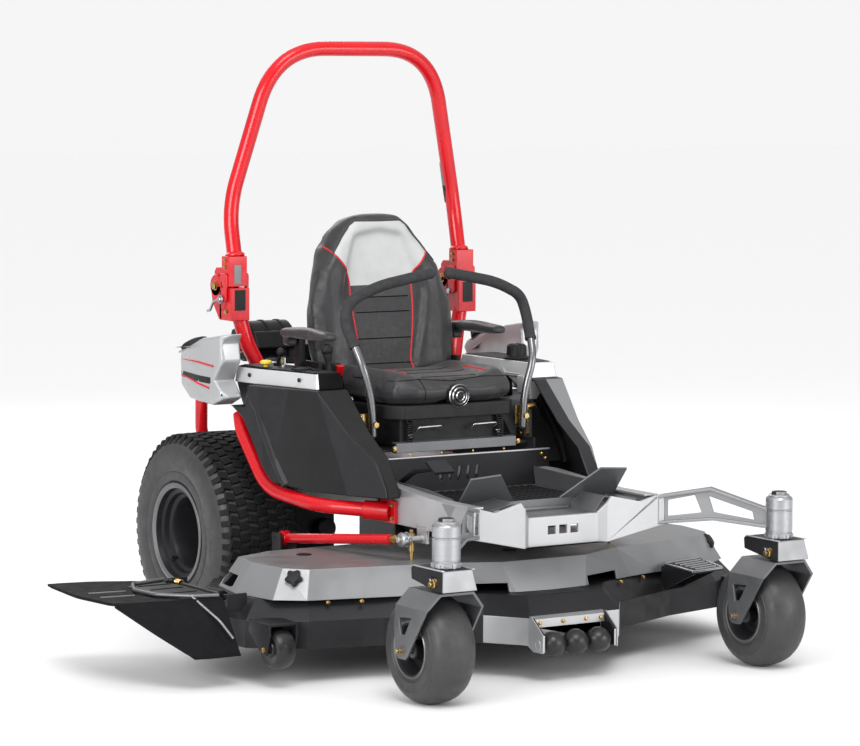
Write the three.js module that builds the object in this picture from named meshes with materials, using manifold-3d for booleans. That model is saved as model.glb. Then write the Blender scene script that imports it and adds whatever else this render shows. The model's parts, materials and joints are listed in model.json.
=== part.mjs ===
// Zero turn mower: ride-on chassis, folding roll bar, suspended seat, two control levers,
// a front caster axle and a lifting three-blade deck.
// Millimetres. +Z is up, the machine faces -Y, and the operator's right hand is on -X.
// Pieces are drawn with x = 0 on the centreline, y = 0 under the seat's front edge and z = 0
// on the ground. The exported group then moves the whole machine so that its own origin is
// the bottom centre of its bounding box.
import * as THREE from 'three';
import { mergeVertices } from 'three/addons/utils/BufferGeometryUtils.js';
import Module from 'manifold-3d';

const wasm = await Module();
wasm.setup();

// Driving dimensions.
const gap = 0.4;                  // running gap between touching pieces
const rearTyreRadius = 330;       // 26 x 12-12 turf tyre
const rearTyreWidth = 305;
const rearAxleY = 675;
const rearTyreOuterX = 664;
const casterRadius = 165;         // 13 x 6.5-6 smooth tyre
const casterWidth = 165;
const casterPivotX = 612;
const casterPivotY = -900;
const casterTrail = 85;
const armPivotY = -915;           // torsion bolt of the caster suspension
const armPivotZ = 380;
const railX = 346;                // outer face of the main rails
const railTopZ = 563;
const railBottomZ = 440;
const hoopX = 447;                // roll bar at its hinge
const hoopHingeY = 726;
const hoopHingeZ = 1140;
const hoopTopZ = 1924;
const hoopBend = 230;
const lockPinY = 668;
const lockPinZ = 1098;
const leverX = 288;               // control lever pivots
const leverY = 40;                // control tube at its base
const yokeY = 58;                 // fore-and-aft pivot of a control lever
const yokeZ = 668;
const swingZ = 728;               // bolt that a control lever swings out on
const linkFrontY = -347;           // pivots of the deck's drag links
const linkFrontZ = 414;
const linkRearY = 200;
const linkRearZ = 362;
const deckHalfWidth = 935;
const deckRimZ = 110;             // lower edge of the cutting deck
const deckBandZ = 195;            // where the deck's dark band starts to slope
const deckTopZ = 254;
const coverTopZ = 346;            // top of the silver belt covers
const spindleX = 600;
const spindleY = -60;
const centreSpindleY = -315;
const bladeRadius = 306;

// Finishes.
function finish(color, roughness, metalness) {
  return new THREE.MeshStandardMaterial({ color, roughness, metalness });
}
const silver = finish(0xc9cbce, 0.38, 0.75);
const red = finish(0xd7141f, 0.3, 0.1);
const darkSteel = finish(0x4a494b, 0.5, 0.4);
const midGrey = finish(0x7f8083, 0.45, 0.6);
const blackPlastic = finish(0x202022, 0.6, 0);
const rubber = finish(0x29292b, 0.8, 0);
const vinyl = finish(0x3a3a3d, 0.6, 0);
const brightSteel = finish(0xb9bcc0, 0.3, 0.9);
const zinc = finish(0xc8a24a, 0.35, 0.8);
const yellow = finish(0xe3c21a, 0.5, 0);

const V = (x, y, z) => new THREE.Vector3(x, y, z);

// ---- Solids from three.js geometry -------------------------------------------------------

// A manifold solid from a closed geometry, with its faces turned outwards.
function solid(geometry) {
  const bare = geometry.index ? geometry.toNonIndexed() : geometry.clone();
  bare.deleteAttribute('normal');
  bare.deleteAttribute('uv');
  const merged = mergeVertices(bare, 1e-3);
  const index = merged.index.array;
  const faces = [];
  for (let i = 0; i < index.length; i += 3) {
    const [a, b, c] = [index[i], index[i + 1], index[i + 2]];
    if (a !== b && b !== c && c !== a) faces.push(a, b, c);
  }
  const vertProperties = new Float32Array(merged.attributes.position.array);
  const build = (corners) =>
    new wasm.Manifold(
      new wasm.Mesh({ numProp: 3, vertProperties, triVerts: new Uint32Array(corners) }));
  const made = build(faces);
  return made.volume() > 0 ? made : build(faces.reverse());
}

const join = (...solids) => solids.reduce((sum, next) => sum.add(next));
const cut = (base, ...tools) => tools.reduce((left, tool) => left.subtract(tool), base);

function box(x0, x1, y0, y1, z0, z1) {
  const geometry = new THREE.BoxGeometry(x1 - x0, y1 - y0, z1 - z0);
  geometry.translate((x0 + x1) / 2, (y0 + y1) / 2, (z0 + z1) / 2);
  return solid(geometry);
}

// A geometry drawn along +Y, moved so that it runs from one point to another.
function alongLine(geometry, from, to) {
  const turn = new THREE.Quaternion();
  turn.setFromUnitVectors(V(0, 1, 0), to.clone().sub(from).normalize());
  geometry.applyQuaternion(turn);
  geometry.translate(from.x, from.y, from.z);
  return solid(geometry);
}

function rod(from, to, radius, sides = 16, endRadius = radius) {
  const length = from.distanceTo(to);
  const geometry = new THREE.CylinderGeometry(endRadius, radius, length, sides);
  geometry.translate(0, length / 2, 0);
  return alongLine(geometry, from, to);
}

// A turned piece: profile points are [radius, distance along the line from -> to].
function turned(profile, from, to, sides = 24) {
  const points = profile.map(([r, h]) => new THREE.Vector2(r, h));
  return alongLine(new THREE.LatheGeometry(points, sides), from, to);
}

// An outline drawn across an axis and pushed along it. Across x the outline is [y, z], across
// y it is [x, z] and across z it is [x, y]. A far outline with as many points tapers it.
function prism(axis, outline, from, to, far = outline) {
  const shape = new THREE.Shape(outline.map(([a, b]) => new THREE.Vector2(a, b)));
  const geometry = new THREE.ExtrudeGeometry(shape, { depth: to - from, bevelEnabled: false });
  const place = geometry.attributes.position;
  for (let i = 0; i < place.count; i += 1) {
    const [a, b, depth] = [place.getX(i), place.getY(i), place.getZ(i)];
    let end = [a, b];
    if (depth > (to - from) / 2) {
      const corner = outline.findIndex(([p, q]) => Math.hypot(p - a, q - b) < 1e-3);
      end = far[corner];
    }
    const [u, v] = end;
    if (axis === 'x') place.setXYZ(i, from + depth, u, v);
    if (axis === 'y') place.setXYZ(i, u, from + depth, v);
    if (axis === 'z') place.setXYZ(i, u, v, from + depth);
  }
  return solid(geometry);
}

// An outline moved inwards by a distance, corner by corner.
function inset(outline, distance) {
  const area = THREE.ShapeUtils.area(outline.map(([a, b]) => new THREE.Vector2(a, b)));
  const side = Math.sign(area);
  return outline.map((corner, i) => {
    const before = outline[(i + outline.length - 1) % outline.length];
    const after = outline[(i + 1) % outline.length];
    const inward = [[before, corner], [corner, after]].map(([p, q]) => {
      const run = new THREE.Vector2(q[0] - p[0], q[1] - p[1]).normalize();
      return new THREE.Vector2(-run.y * side, run.x * side);
    });
    const middle = inward[0].clone().add(inward[1]).normalize();
    const reach = distance / Math.max(0.35, middle.dot(inward[0]));
    return [corner[0] + middle.x * reach, corner[1] + middle.y * reach];
  });
}

// The same half outline on both sides of x = 0. The half runs from one end of the
// centreline to the other.
function bothSides(half) {
  const other = half.filter(([x]) => Math.abs(x) > 1e-6).map(([x, b]) => [-x, b]);
  return [...half, ...other.reverse()];
}

// A bent path that is sampled only in its bends, so a straight run stays one facet long.
class BentPath extends THREE.Curve {
  constructor(points, bend, steps) {
    super();
    this.stations = [];
    points.forEach((point, i) => {
      const before = points[i - 1];
      const after = points[i + 1];
      if (!before || !after) {
        const run = before ? point.clone().sub(before) : after.clone().sub(point);
        this.stations.push({ point, tangent: run.normalize() });
        return;
      }
      const arrive = point.clone().sub(before).normalize();
      const leave = after.clone().sub(point).normalize();
      const angle = arrive.angleTo(leave);
      const setback = bend * Math.tan(angle / 2);
      const start = point.clone().addScaledVector(arrive, -setback);
      const across = leave.clone().addScaledVector(arrive, -Math.cos(angle)).normalize();
      for (let step = 0; step <= steps; step += 1) {
        const turn = (angle * step) / steps;
        const at = start.clone()
          .addScaledVector(arrive, bend * Math.sin(turn))
          .addScaledVector(across, bend * (1 - Math.cos(turn)));
        const tangent = arrive.clone().multiplyScalar(Math.cos(turn))
          .addScaledVector(across, Math.sin(turn));
        this.stations.push({ point: at, tangent });
      }
    });
  }

  station(u) {
    return this.stations[Math.round(u * (this.stations.length - 1))];
  }

  getPoint(u) {
    return this.station(u).point.clone();
  }

  getPointAt(u) {
    return this.getPoint(u);
  }

  getTangentAt(u) {
    return this.station(u).tangent.clone();
  }
}

function circle(radius, sides) {
  const points = [];
  for (let i = 0; i < sides; i += 1) {
    const angle = (2 * Math.PI * i) / sides;
    points.push(new THREE.Vector2(radius * Math.cos(angle), radius * Math.sin(angle)));
  }
  return new THREE.Shape(points);
}

// A round bar or tube through the points, its corners rounded to the bend radius.
function tube(points, radius, bend, sides = 12, steps = 4) {
  const path = new BentPath(points, bend, steps);
  const geometry = new THREE.ExtrudeGeometry(circle(radius, sides), {
    steps: path.stations.length - 1, bevelEnabled: false, extrudePath: path,
  });
  return solid(geometry);
}

function turnedAbout(piece, centre, axis, degrees) {
  const spin = { x: [degrees, 0, 0], y: [0, degrees, 0], z: [0, 0, degrees] }[axis];
  return piece.translate([-centre.x, -centre.y, -centre.z]).rotate(spin)
    .translate([centre.x, centre.y, centre.z]);
}

const flipped = (piece) => piece.mirror([1, 0, 0]);
const onBothSides = (piece) => join(piece, flipped(piece));

// ---- The machine ------------------------------------------------------------------------

const machine = new THREE.Group();

function mesh(name, material, piece) {
  const surface = piece.getMesh();
  const geometry = new THREE.BufferGeometry();
  geometry.setAttribute('position', new THREE.BufferAttribute(surface.vertProperties, 3));
  geometry.setIndex(new THREE.BufferAttribute(surface.triVerts, 1));
  geometry.computeVertexNormals();
  const made = new THREE.Mesh(geometry, material);
  made.name = name;
  return made;
}

function add(name, material, piece) {
  machine.add(mesh(name, material, piece));
}

// A piece drawn on the operator's right (-X) and its mirrored twin on the left.
function addPair(name, material, piece) {
  add(`${name}_right`, material, piece);
  const twin = mesh(`${name}_left`, material, piece);
  twin.scale.x = -1;
  machine.add(twin);
}

// Frame ------------------------------------------------------------------------------------

// Two inward-facing channel rails with their cross members and the engine plate.
function mainFrame() {
  const side = [[-622, 445], [-622, 538], [-444, 538], [-82, railTopZ], [905, railTopZ],
    [905, railBottomZ], [-444, railBottomZ]];
  const rail = cut(
    prism('x', side, -railX, -railX + 46),
    prism('x', [[-640, 452], [-640, 531], [-444, 531], [-82, railTopZ - 7], [920, railTopZ - 7],
      [920, railBottomZ + 7], [-444, railBottomZ + 7]], -railX + 7, 0));
  const inner = railX - 6;
  const crossTube = (y) => box(-inner, inner, y, y + 50, 451, 500);
  const enginePlate = box(-inner, inner, 470, 900, railTopZ - 12, railTopZ - 4);
  const crankHole = rod(V(0, 700, 500), V(0, 700, 600), 48, 20);
  const linkHanger = join(box(-railX - 1, -railX + 8, -376, -318, 398, 450),
    rod(V(-railX, linkFrontY, linkFrontZ), V(-436, linkFrontY, linkFrontZ), 9, 12));
  return join(onBothSides(join(rail, linkHanger)), crossTube(-430), crossTube(-20),
    crossTube(330), crossTube(850), cut(enginePlate, crankHole));
}

// The folded front plate, the two pierced arms and the caster hub tubes.
function frontAxle() {
  const face = bothSides([[0, 400], [154, 400], [362, 445], [362, 532], [346, 540], [271, 520],
    [168, 542], [128, 491], [0, 491]]);
  const ribbonFront = [[0, -612], [130, -612], [152, -630], [356, -652]];
  const ribbonBack = [[356, -640], [152, -620], [130, -602], [0, -602]];
  const ribbon = bothSides([...ribbonFront, ...ribbonBack]);
  const plate = prism('y', face, -690, -560).intersect(prism('z', ribbon, 390, 560));
  const slots = [-1, 0, 1].map((i) => box(i * 42 - 14, i * 42 + 14, -640, -580, 436, 462));
  const cheek = prism('x', [[-648, 446], [-648, 536], [-469, 536], [-565, 446]],
    -railX - 9, -railX - gap);
  return join(onBothSides(join(cheek, casterArm(), hubTube())),
    cut(plate, ...slots));
}

// An arm drawn along +X in the XZ plane, pierced twice, then swung out to its hub.
function casterArm() {
  const root = V(-railX - 5, -640, 0);
  const hub = V(-casterPivotX, casterPivotY, 0);
  const length = root.distanceTo(hub);
  const outline = [[-14, 445], [165, 462], [320, 444], [length, 446], [length, 516],
    [322, 508], [155, 564], [-14, 534]];
  const rim = inset(outline, 9);
  const pocket = [rim[0], rim[1], [length - 40, 455], [length - 40, 498], [300, 508], rim[6],
    rim[7]];
  const web = 8;
  const depth = 40;
  const windows = [
    [[22, 470], [128, 484], [106, 538], [22, 520]],
    [[166, 486], [292, 466], [286, 492], [150, 536]],
  ];
  const arm = cut(
    prism('y', outline, -depth / 2, depth / 2),
    prism('y', pocket, -depth, -web / 2),
    prism('y', pocket, web / 2, depth),
    ...windows.map((window) => prism('y', window, -depth, depth)));
  const heading = (Math.atan2(hub.y - root.y, hub.x - root.x) * 180) / Math.PI;
  const placed = arm.rotate([0, 0, heading]).translate([root.x, root.y, 0]);
  return cut(placed, rod(V(hub.x, hub.y, 400), V(hub.x, hub.y, 600), 34, 12));
}

function hubTube() {
  const profile = [[21, 415], [42, 415], [42, 432], [39, 434], [39, 500], [42, 502], [42, 530],
    [38, 542], [21, 542]];
  return turned([...profile, profile[0]], V(-casterPivotX, casterPivotY, 0),
    V(-casterPivotX, casterPivotY, 1), 16);
}

// Tray floor, folded toe board and the two raised foot rests.
function footPlatform() {
  const floor = box(-296, 296, -462, -22, 501, 507);
  const profile = [[0, 492], [124, 492], [165, 540], [268, 519], [292, 524]];
  const under = profile.map(([x, z]) => [x, z - 5]).reverse();
  const toeBoard = prism('y', bothSides([...profile, ...under]), -598, -458);
  const leanBack = 40;
  const rest = turnedAbout(
    prism('y', [[86, 526], [292, 524], [292, 640], [186, 650]], -468, -462),
    V(0, -465, 526), 'x', leanBack);
  const riser = prism('x', [[-464, 501], [-458, 501], [-458, 524], [-464, 524]], -296, 296);
  return join(floor, toeBoard, onBothSides(rest), riser);
}

// Dark riser panel under the seat with generic slots, side cheeks, and the seat support bar.
function seatBase() {
  const slots = [-2, -1, 0, 1, 2].map((i) => prism('y',
    [[i * 34 - 8, 540], [i * 34 + 4, 540], [i * 34 + 12, 585], [i * 34, 585]], -60, 20));
  const panel = cut(box(-298, 298, -20, -12, 508, 622), ...slots);
  const wings = box(-352, -290, -20, -12, railTopZ + gap + 1, 622);
  const cheek = box(-298, -290, -20, 470, railTopZ + gap, 660);
  const front = box(-228, 228, -6, 20, 636, 668);
  const top = box(-292, 292, 14, 470, 640, 648);
  const yokeLug = box(-298, -290, yokeY - 24, yokeY + 24, 640, yokeZ + 20);
  const yokeHole = rod(V(-320, yokeY, yokeZ), V(-280, yokeY, yokeZ), 12.8, 20);
  const half = join(cut(join(cheek, yokeLug), yokeHole), wings);
  return join(panel, onBothSides(half), front, top);
}

// Red tube that guards the pod and rear wheel on each side.
function sideRail() {
  const run = [V(-536, 462, 738), V(-548, 430, 690), V(-548, 262, 516), V(-500, 40, 484),
    V(-384, -120, 478)];
  const flange = prism('x', [[-205, 442], [-205, 512], [-96, 528], [-96, 442]],
    -railX - 12, -railX - gap);
  const socket = rod(V(-400, -98, 479), V(-railX - 4, -172, 476), 30, 10);
  const railSpace = box(-railX - gap, -railX + 60, -300, 0, 400, 600);
  return cut(join(tube(run, 23, 60, 10, 3), flange, socket), railSpace);
}

// Roll bar feet, their hinge sockets, and the crossbar that guards the engine.
function ropsBase() {
  const guardZ = 594;
  const shoulder = V(-412, 636, 950);
  const leg = tube([V(-322, 560, 568), V(-322, 560, 705), V(-386, 608, 881), shoulder,
    V(-441, 652, 1062)], 25, 60, 8, 2);
  const guard = tube([shoulder, V(-440, 790, 905), V(-432, 915, 800), V(-428, 925, guardZ),
    V(10, 925, guardZ)], 21, 40, 8, 2);
  const strut = prism('x', [[852, railTopZ + gap], [900, railTopZ + gap], [934, 588], [916, 606],
    [852, 580]], -332, -312);
  const foot = box(-railX, -300, 516, 606, railTopZ + gap, 576);
  const rearFoot = box(-railX, -300, 850, 900, railTopZ + gap, 580);
  const socket = box(-hoopX - 34, -hoopX + 36, 620, 690, 1028, hoopHingeZ - 4);
  const lug = (x) => join(box(x, x + 8, 690, 762, 1070, hoopHingeZ),
    rod(V(x, hoopHingeY, hoopHingeZ), V(x + 8, hoopHingeY, hoopHingeZ), 36, 16));
  const web = box(-hoopX - 34, -hoopX + 36, 684, 700, 1030, 1076);
  const pinHole = rod(V(-600, lockPinY, lockPinZ), V(-300, lockPinY, lockPinZ), 10.8, 12);
  const bolt = rod(V(-hoopX - 44, hoopHingeY, hoopHingeZ), V(-hoopX + 46, hoopHingeY, hoopHingeZ),
    9, 12);
  const head = join(cut(join(socket, web), pinHole), lug(-hoopX - 34), lug(-hoopX + 28), bolt);
  return onBothSides(join(leg, guard, strut, foot, rearFoot, head));
}

// Folding hoop with its two sockets. Notched cheeks straddle the lock pins.
function ropsHoop() {
  const half = [V(-440, 664, 1215), V(-441, 706, 1400), V(-304, 634, hoopTopZ)];
  const twin = half.map(({ x, y, z }) => V(-x, y, z)).reverse();
  const bar = tube([...half, ...twin], 25, hoopBend, 10, 6);
  const socket = box(-hoopX - 34, -hoopX + 36, 636, 684, hoopHingeZ, 1240);
  const lug = cut(
    join(box(-hoopX - 25, -hoopX + 27, 680, 750, hoopHingeZ, 1200),
      rod(V(-hoopX - 25, hoopHingeY, hoopHingeZ), V(-hoopX + 27, hoopHingeY, hoopHingeZ), 28, 16)),
    rod(V(-600, hoopHingeY, hoopHingeZ), V(-300, hoopHingeY, hoopHingeZ), 9.8, 12));
  const cheek = (x) => box(x, x + 8, 640, 682, lockPinZ - 13, 1180);
  const cheeks = join(cheek(-hoopX - 43), cheek(-hoopX + 37),
    box(-hoopX - 42, -hoopX + 44, 646, 676, 1150, 1180));
  const outAngle = (Math.atan2(hoopHingeY - lockPinY, hoopHingeZ - lockPinZ) * 180) / Math.PI;
  const notch = turnedAbout(box(-600, -300, lockPinY - 13, lockPinY + 12, lockPinZ - 60,
    lockPinZ + 11), V(0, lockPinY, lockPinZ), 'x', 90 - outAngle);
  return join(bar, onBothSides(join(socket, lug, cut(cheeks, notch))));
}

// Lock pin with a pull handle, seen on the outside of each socket.
function ropsPin() {
  const at = (x) => V(-hoopX + x, lockPinY, lockPinZ);
  return join(
    rod(at(-56), at(50), 10, 12),
    rod(at(-53), V(-hoopX - 53, 706, 1072), 4.5, 8),
    rod(at(-50), at(-45), 15, 12));
}

// Wheels -----------------------------------------------------------------------------------

function rearTyre() {
  const [r, w] = [rearTyreRadius, rearTyreWidth];
  const half = [[168, 12], [186, 2], [262, 2], [304, 16], [r - 6, 38], [r, 66]];
  const other = half.map(([radius, x]) => [radius, w - x]).reverse();
  const tread = [...half, ...other];
  return turned([...tread, tread[0]], V(-rearTyreOuterX, rearAxleY, r),
    V(-rearTyreOuterX + w, rearAxleY, r), 24);
}

function rearRim() {
  const profile = [[0, 98], [48, 96], [104, 90], [140, 60], [150, 8], [167, 6], [167, 286],
    [152, 286], [142, 160], [60, 130], [0, 130]];
  return turned(profile, V(-rearTyreOuterX, rearAxleY, rearTyreRadius),
    V(-rearTyreOuterX + 1, rearAxleY, rearTyreRadius), 24);
}

function casterBlock() {
  const side = [[-962, 412], [-975, 350], [-948, 350], [-800, 372], [-790, 404], [-800, 412]];
  const body = prism('x', side, -60, 60);
  const front = [[-62, 340], [62, 340], [50, 420], [-50, 420]];
  const tapered = body.intersect(prism('y', front, -1000, -760));
  const at = (z) => V(0, casterPivotY, z);
  const kingpin = join(rod(at(405), at(552), 18, 16), rod(at(545), at(558), 24, 12));
  const boltLine = (half, radius, sides) =>
    rod(V(-half, armPivotY, armPivotZ), V(half, armPivotY, armPivotZ), radius, sides);
  const slot = box(-42, 42, armPivotY - 16, armPivotY + 16, 330, armPivotZ);
  const block = cut(tapered, boltLine(42, 22, 16), slot);
  return join(block, kingpin, boltLine(72, 9, 12), boltLine(66, 15, 6)
    .subtract(boltLine(50, 20, 8))).translate([-casterPivotX, 0, 0]);
}

// Inverted-U fork with chamfered shoulders, pierced legs, and the torsion sleeve on top.
function casterFork() {
  const [x, y] = [casterPivotX, casterPivotY + casterTrail];
  const outer = [[-100, 140], [-100, 298], [-58, 346], [58, 346], [100, 298], [100, 140]];
  const innerRing = [[-92, 120], [-92, 295], [-54, 338], [54, 338], [92, 295], [92, 120]];
  const arch = cut(prism('y', outer, -970, -770), prism('y', innerRing, -990, -750));
  const leg = [[-846, 150], [-832, 138], [-798, 138], [-782, 152], [-772, 240], [-790, 350],
    [-962, 350], [-950, 300]];
  const window = [[-832, 214], [-812, 212], [-800, 262], [-868, 268]];
  const frame = cut(arch.intersect(prism('x', leg, -120, 120)), prism('x', window, -130, 130));
  const axle = rod(V(-112, y, casterRadius), V(112, y, casterRadius), 10, 12);
  const sleeve = cut(
    join(rod(V(-38, armPivotY, armPivotZ), V(38, armPivotY, armPivotZ), 18, 16),
      box(-38, 38, armPivotY - 9, armPivotY + 9, 340, armPivotZ)),
    rod(V(-60, armPivotY, armPivotZ), V(60, armPivotY, armPivotZ), 10, 16));
  return join(frame, axle, sleeve).translate([-x, 0, 0]);
}

function casterWheel() {
  const w = casterWidth;
  const half = [[12, 22], [30, 22], [32, 52], [64, 56], [74, 14], [104, 8], [136, 9], [155, 28],
    [casterRadius, 60]];
  const other = half.map(([radius, x]) => [radius, w - x]).reverse();
  const section = [...half, ...other];
  const from = V(-casterPivotX - w / 2, casterPivotY + casterTrail, casterRadius);
  return turned([...section, section[0]], from, from.clone().add(V(w, 0, 0)), 20);
}

// Body work --------------------------------------------------------------------------------

// The console's nose reaches down through the top of the pod.
const noseLow = [[-366, 112], [-392, 112], [-396, 150], [-366, 150]];
const noseHigh = [[-358, 104], [-448, 104], [-448, 250], [-358, 250]];

// Black moulded pod between the console and the side rail, open on its inner side.
function pod() {
  const inner = -railX - 12;
  const low = [[inner, -245], [-405, -245], [-450, -84], [-512, 61], [-588, 192], [-600, 325],
    [-600, 520], [inner, 520]];
  const high = [[inner, -245], [-392, -245], [-425, -84], [-472, 80], [-508, 192], [-545, 325],
    [-566, 520], [inner, 520]];
  const side = [[80, 840], [-59, 715], [-176, 640], [-231, 557], [-241, 526], [-84, 522],
    [61, 524], [185, 545], [246, 590], [325, 672], [387, 733], [455, 766], [520, 778],
    [520, 840]];
  const body = prism('z', low, 505, 845, high).intersect(prism('x', side, -640, -300));
  const wall = 7;
  const shrunk = (outline) => outline.map(([x, y]) => [x === inner ? inner + 20 : x + wall,
    y + (y > 500 ? 20 : 0)]);
  const core = prism('z', shrunk(low), 500, 850, shrunk(high))
    .intersect(prism('x', inset(side, wall), -640, -300));
  const nose = prism('z', inset(noseLow, -2), 770, 850, inset(noseHigh, -2));
  const tankSpace = box(-700, -300, 383, 600, 769, 900);
  return cut(body, core, nose, tankSpace);
}

// Silver control console on top of the pod, with the tapered nose beside the lever.
function controlConsole() {
  const plan = [[-358, 100], [-462, 98], [-488, 234], [-520, 372], [-534, 500], [-500, 538],
    [-358, 538]];
  const top = inset(plan, 8);
  const slab = prism('z', plan, 841, 892, top);
  const brakeBracket = box(-374, -350, 130, 170, 788, 848);
  return join(slab, prism('z', noseLow, 770, 850, noseHigh), brakeBracket);
}

// Silver rear fender tank with a filler neck on its rear corner.
function fenderTank() {
  const side = [[421, 795], [482, 770], [631, 781], [700, 822], [733, 849], [767, 893],
    [746, 918], [640, 950], [540, 985], [412, 1004], [440, 976], [430, 914], [474, 849],
    [436, 813]];
  const plan = [[-548, 400], [-575, 400], [-622, 440], [-636, 560], [-628, 690], [-590, 768],
    [-524, 770], [-524, 600], [-546, 560]];
  const { base, out } = capAxis();
  const at = (h) => base.clone().addScaledVector(out, h);
  const body = prism('x', side, -660, -380).intersect(prism('z', plan, 740, 1020));
  const neck = rod(at(-40), at(7.5), 38, 16);
  return join(cut(body, rod(at(-2), at(60), 52, 16)), neck);
}

function capAxis() {
  const base = V(-566, 692, 926);
  return { base, out: V(-0.16, 0.42, 0.89).normalize() };
}

function fuelCap() {
  const { base, out } = capAxis();
  const at = (h) => base.clone().addScaledVector(out, h);
  return turned([[0, 0], [42, 0], [47, 6], [47, 26], [40, 34], [0, 34]], at(8), at(9), 18);
}

// Seat -------------------------------------------------------------------------------------

// Black pan, suspension housing and side guides under the cushion, and the rear shell.
function seatShell() {
  const housing = box(-200, 200, 20, 430, 650, 742);
  const pan = prism('z', bothSides([[0, -18], [200, -10], [236, 30], [262, 120], [268, 470],
    [0, 480]]), 742, 786);
  const hingeEars = box(-276, -262, 400, 500, 760, 900);
  const rearBar = box(-276, 276, 470, 490, 760, 800);
  const armPosts = box(-300, -276, 484, 520, 760, 1000);
  const link = box(-300, 300, 484, 500, 760, 796);
  const knobSpace = rod(V(0, -60, 811), V(0, 6, 811), 36, 16);
  return join(housing, cut(pan, knobSpace), onBothSides(join(hingeEars, armPosts)), rearBar,
    link);
}

function seatCushion() {
  const plan = bothSides([[0, -14], [150, -8], [225, 22], [252, 90], [258, 394], [0, 394]]);
  const body = prism('z', plan, 786 + gap, 842, inset(plan, 4));
  const crown = prism('z', inset(plan, 4), 841.9, 880, inset(plan, 42));
  const knobRecess = rod(V(0, -60, 811), V(0, 6, 811), 36, 16);
  return cut(join(body, crown), knobRecess);
}

// The back rest, leaning back, with bolsters drawn as a shallow dish.
function seatBack() {
  const front = bothSides([[0, 0], [196, 0], [258, 60], [272, 160], [270, 265], [229, 384],
    [173, 460], [114, 535], [81, 557], [0, 562]]);
  const rear = bothSides([[0, 6], [180, 6], [226, 60], [240, 160], [234, 265], [216, 384],
    [200, 455], [156, 515], [100, 556], [0, 562]]);
  const slab = prism('y', front, 0, 96, rear);
  const dish = prism('y', bothSides([[0, 30], [120, 40], [172, 300], [100, 500], [0, 520]]),
    -40, 22, bothSides([[0, 50], [100, 60], [150, 300], [84, 486], [0, 500]]));
  const lean = -9;
  return cut(slab, dish).rotate([lean, 0, 0]).translate([0, 404, 822]);
}

function armrest() {
  const pad = prism('y', [[-352, 990], [-345, 984], [-309, 984], [-302, 990], [-306, 1012],
    [-348, 1012]], 236, 530);
  return cut(join(pad, box(-340, -306, 488, 530, 950, 1000)),
    box(-304, -280, 470, 540, 940, 1020));
}

function seatKnob() {
  return turned([[0, 0], [31, 0], [31, 24], [27, 30], [18, 30], [15, 25], [0, 25]],
    V(0, 5, 811), V(0, -40, 811), 18);
}

// Controls ---------------------------------------------------------------------------------

// Fore-and-aft yoke of a control lever, with the bolt that the lever swings out on.
function leverYoke() {
  const pivot = rod(V(-319, yokeY, yokeZ), V(-284, yokeY, yokeZ), 12, 16);
  const arm = box(-318, -301, yokeY - 8, yokeY + 8, yokeZ - 8, 712);
  const plate = box(-318, -268, yokeY - 4, yokeY + 4, 700, 762);
  const bolt = rod(V(-leverX, 20, swingZ), V(-leverX, yokeY, swingZ), 6, 12);
  const head = rod(V(-leverX, 16, swingZ), V(-leverX, 23, swingZ), 10, 6);
  const stub = rod(V(-300, yokeY + 8, 750), V(-352, yokeY + 8, 756), 10, 12);
  return join(pivot, arm, plate, bolt, head, stub);
}

// The bent lever with its padded grip.
function lever() {
  const [x, y] = [leverX, leverY];
  const shaft = tube([V(-x, y, 696), V(-x - 3, y, 800), V(-x - 38, y - 3, 914),
    V(-x - 50, y + 34, 985)], 12.5, 60, 8, 3);
  const grip = tube([V(-x - 49, y + 31, 975), V(-x - 62, y + 76, 1055), V(-x - 40, y + 79, 1118),
    V(-x + 60, y + 70, 1164), V(-35, y + 59, 1200)], 19, 45, 8, 3);
  const boltHole = rod(V(-x, 0, swingZ), V(-x, 100, swingZ), 7.2, 12);
  return join(cut(shaft, boltHole), grip);
}

function brakeLever() {
  const pivot = rod(V(-349, 150, 800), V(-300, 150, 800), 9, 12);
  const arm = tube([V(-312, 150, 800), V(-312, 200, 820), V(-334, 232, 870), V(-338, 240, 945)],
    8, 40, 8, 2);
  const grip = rod(V(-336, 236, 905), V(-338, 246, 972), 14, 12);
  return join(arm, grip, pivot);
}

function throttleLever() {
  const stem = rod(V(-420, 420, 899), V(-420, 400, 934), 5, 8);
  const ball = turned(
    [[0, -15], [9, -12], [14, -5], [14, 5], [9, 12], [0, 15]], V(-420, 398, 940),
    V(-420, 398, 941), 12);
  const pivot = rod(V(-432, 420, 899), V(-408, 420, 899), 6, 8);
  return join(stem, ball, pivot);
}

function heightDial() {
  return join(
    turned([[0, 0], [36, 0], [36, 6], [26, 12], [26, 40], [22, 44], [0, 44]],
      V(404, 252, 892 + gap), V(404, 252, 894), 20),
    box(382, 426, 248, 256, 930, 940));
}

function ptoSwitch() {
  return turned([[0, 0], [8, 0], [8, 14], [18, 18], [18, 30], [0, 33]], V(-474, 400, 892 + gap),
    V(-474, 400, 894), 12);
}

function ignitionKey() {
  return join(rod(V(-450, 330, 892 + gap), V(-450, 330, 905), 6, 10),
    box(-453, -447, 318, 342, 903, 928));
}

// Engine and drive -------------------------------------------------------------------------

function engineBlock() {
  const sump = rod(V(0, 700, railTopZ - 3), V(0, 700, 640), 130, 20);
  const crankcase = box(-150, 150, 600, 840, 630, 830);
  const cylinder = (side) => turnedAbout(box(-62, 62, 650, 810, 700, 850), V(0, 700, 700), 'y',
    side * 45).translate([side * 70, 0, 0]);
  const neck = rod(V(0, 740, 800), V(0, 740, 872 - gap), 60, 16);
  const muffler = rod(V(-240, 860, 690), V(240, 860, 690), 38, 16);
  const exhaust = box(-40, 40, 800, 860, 660, 720);
  return join(sump, crankcase, cylinder(1), cylinder(-1), neck, muffler, exhaust);
}

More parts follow.
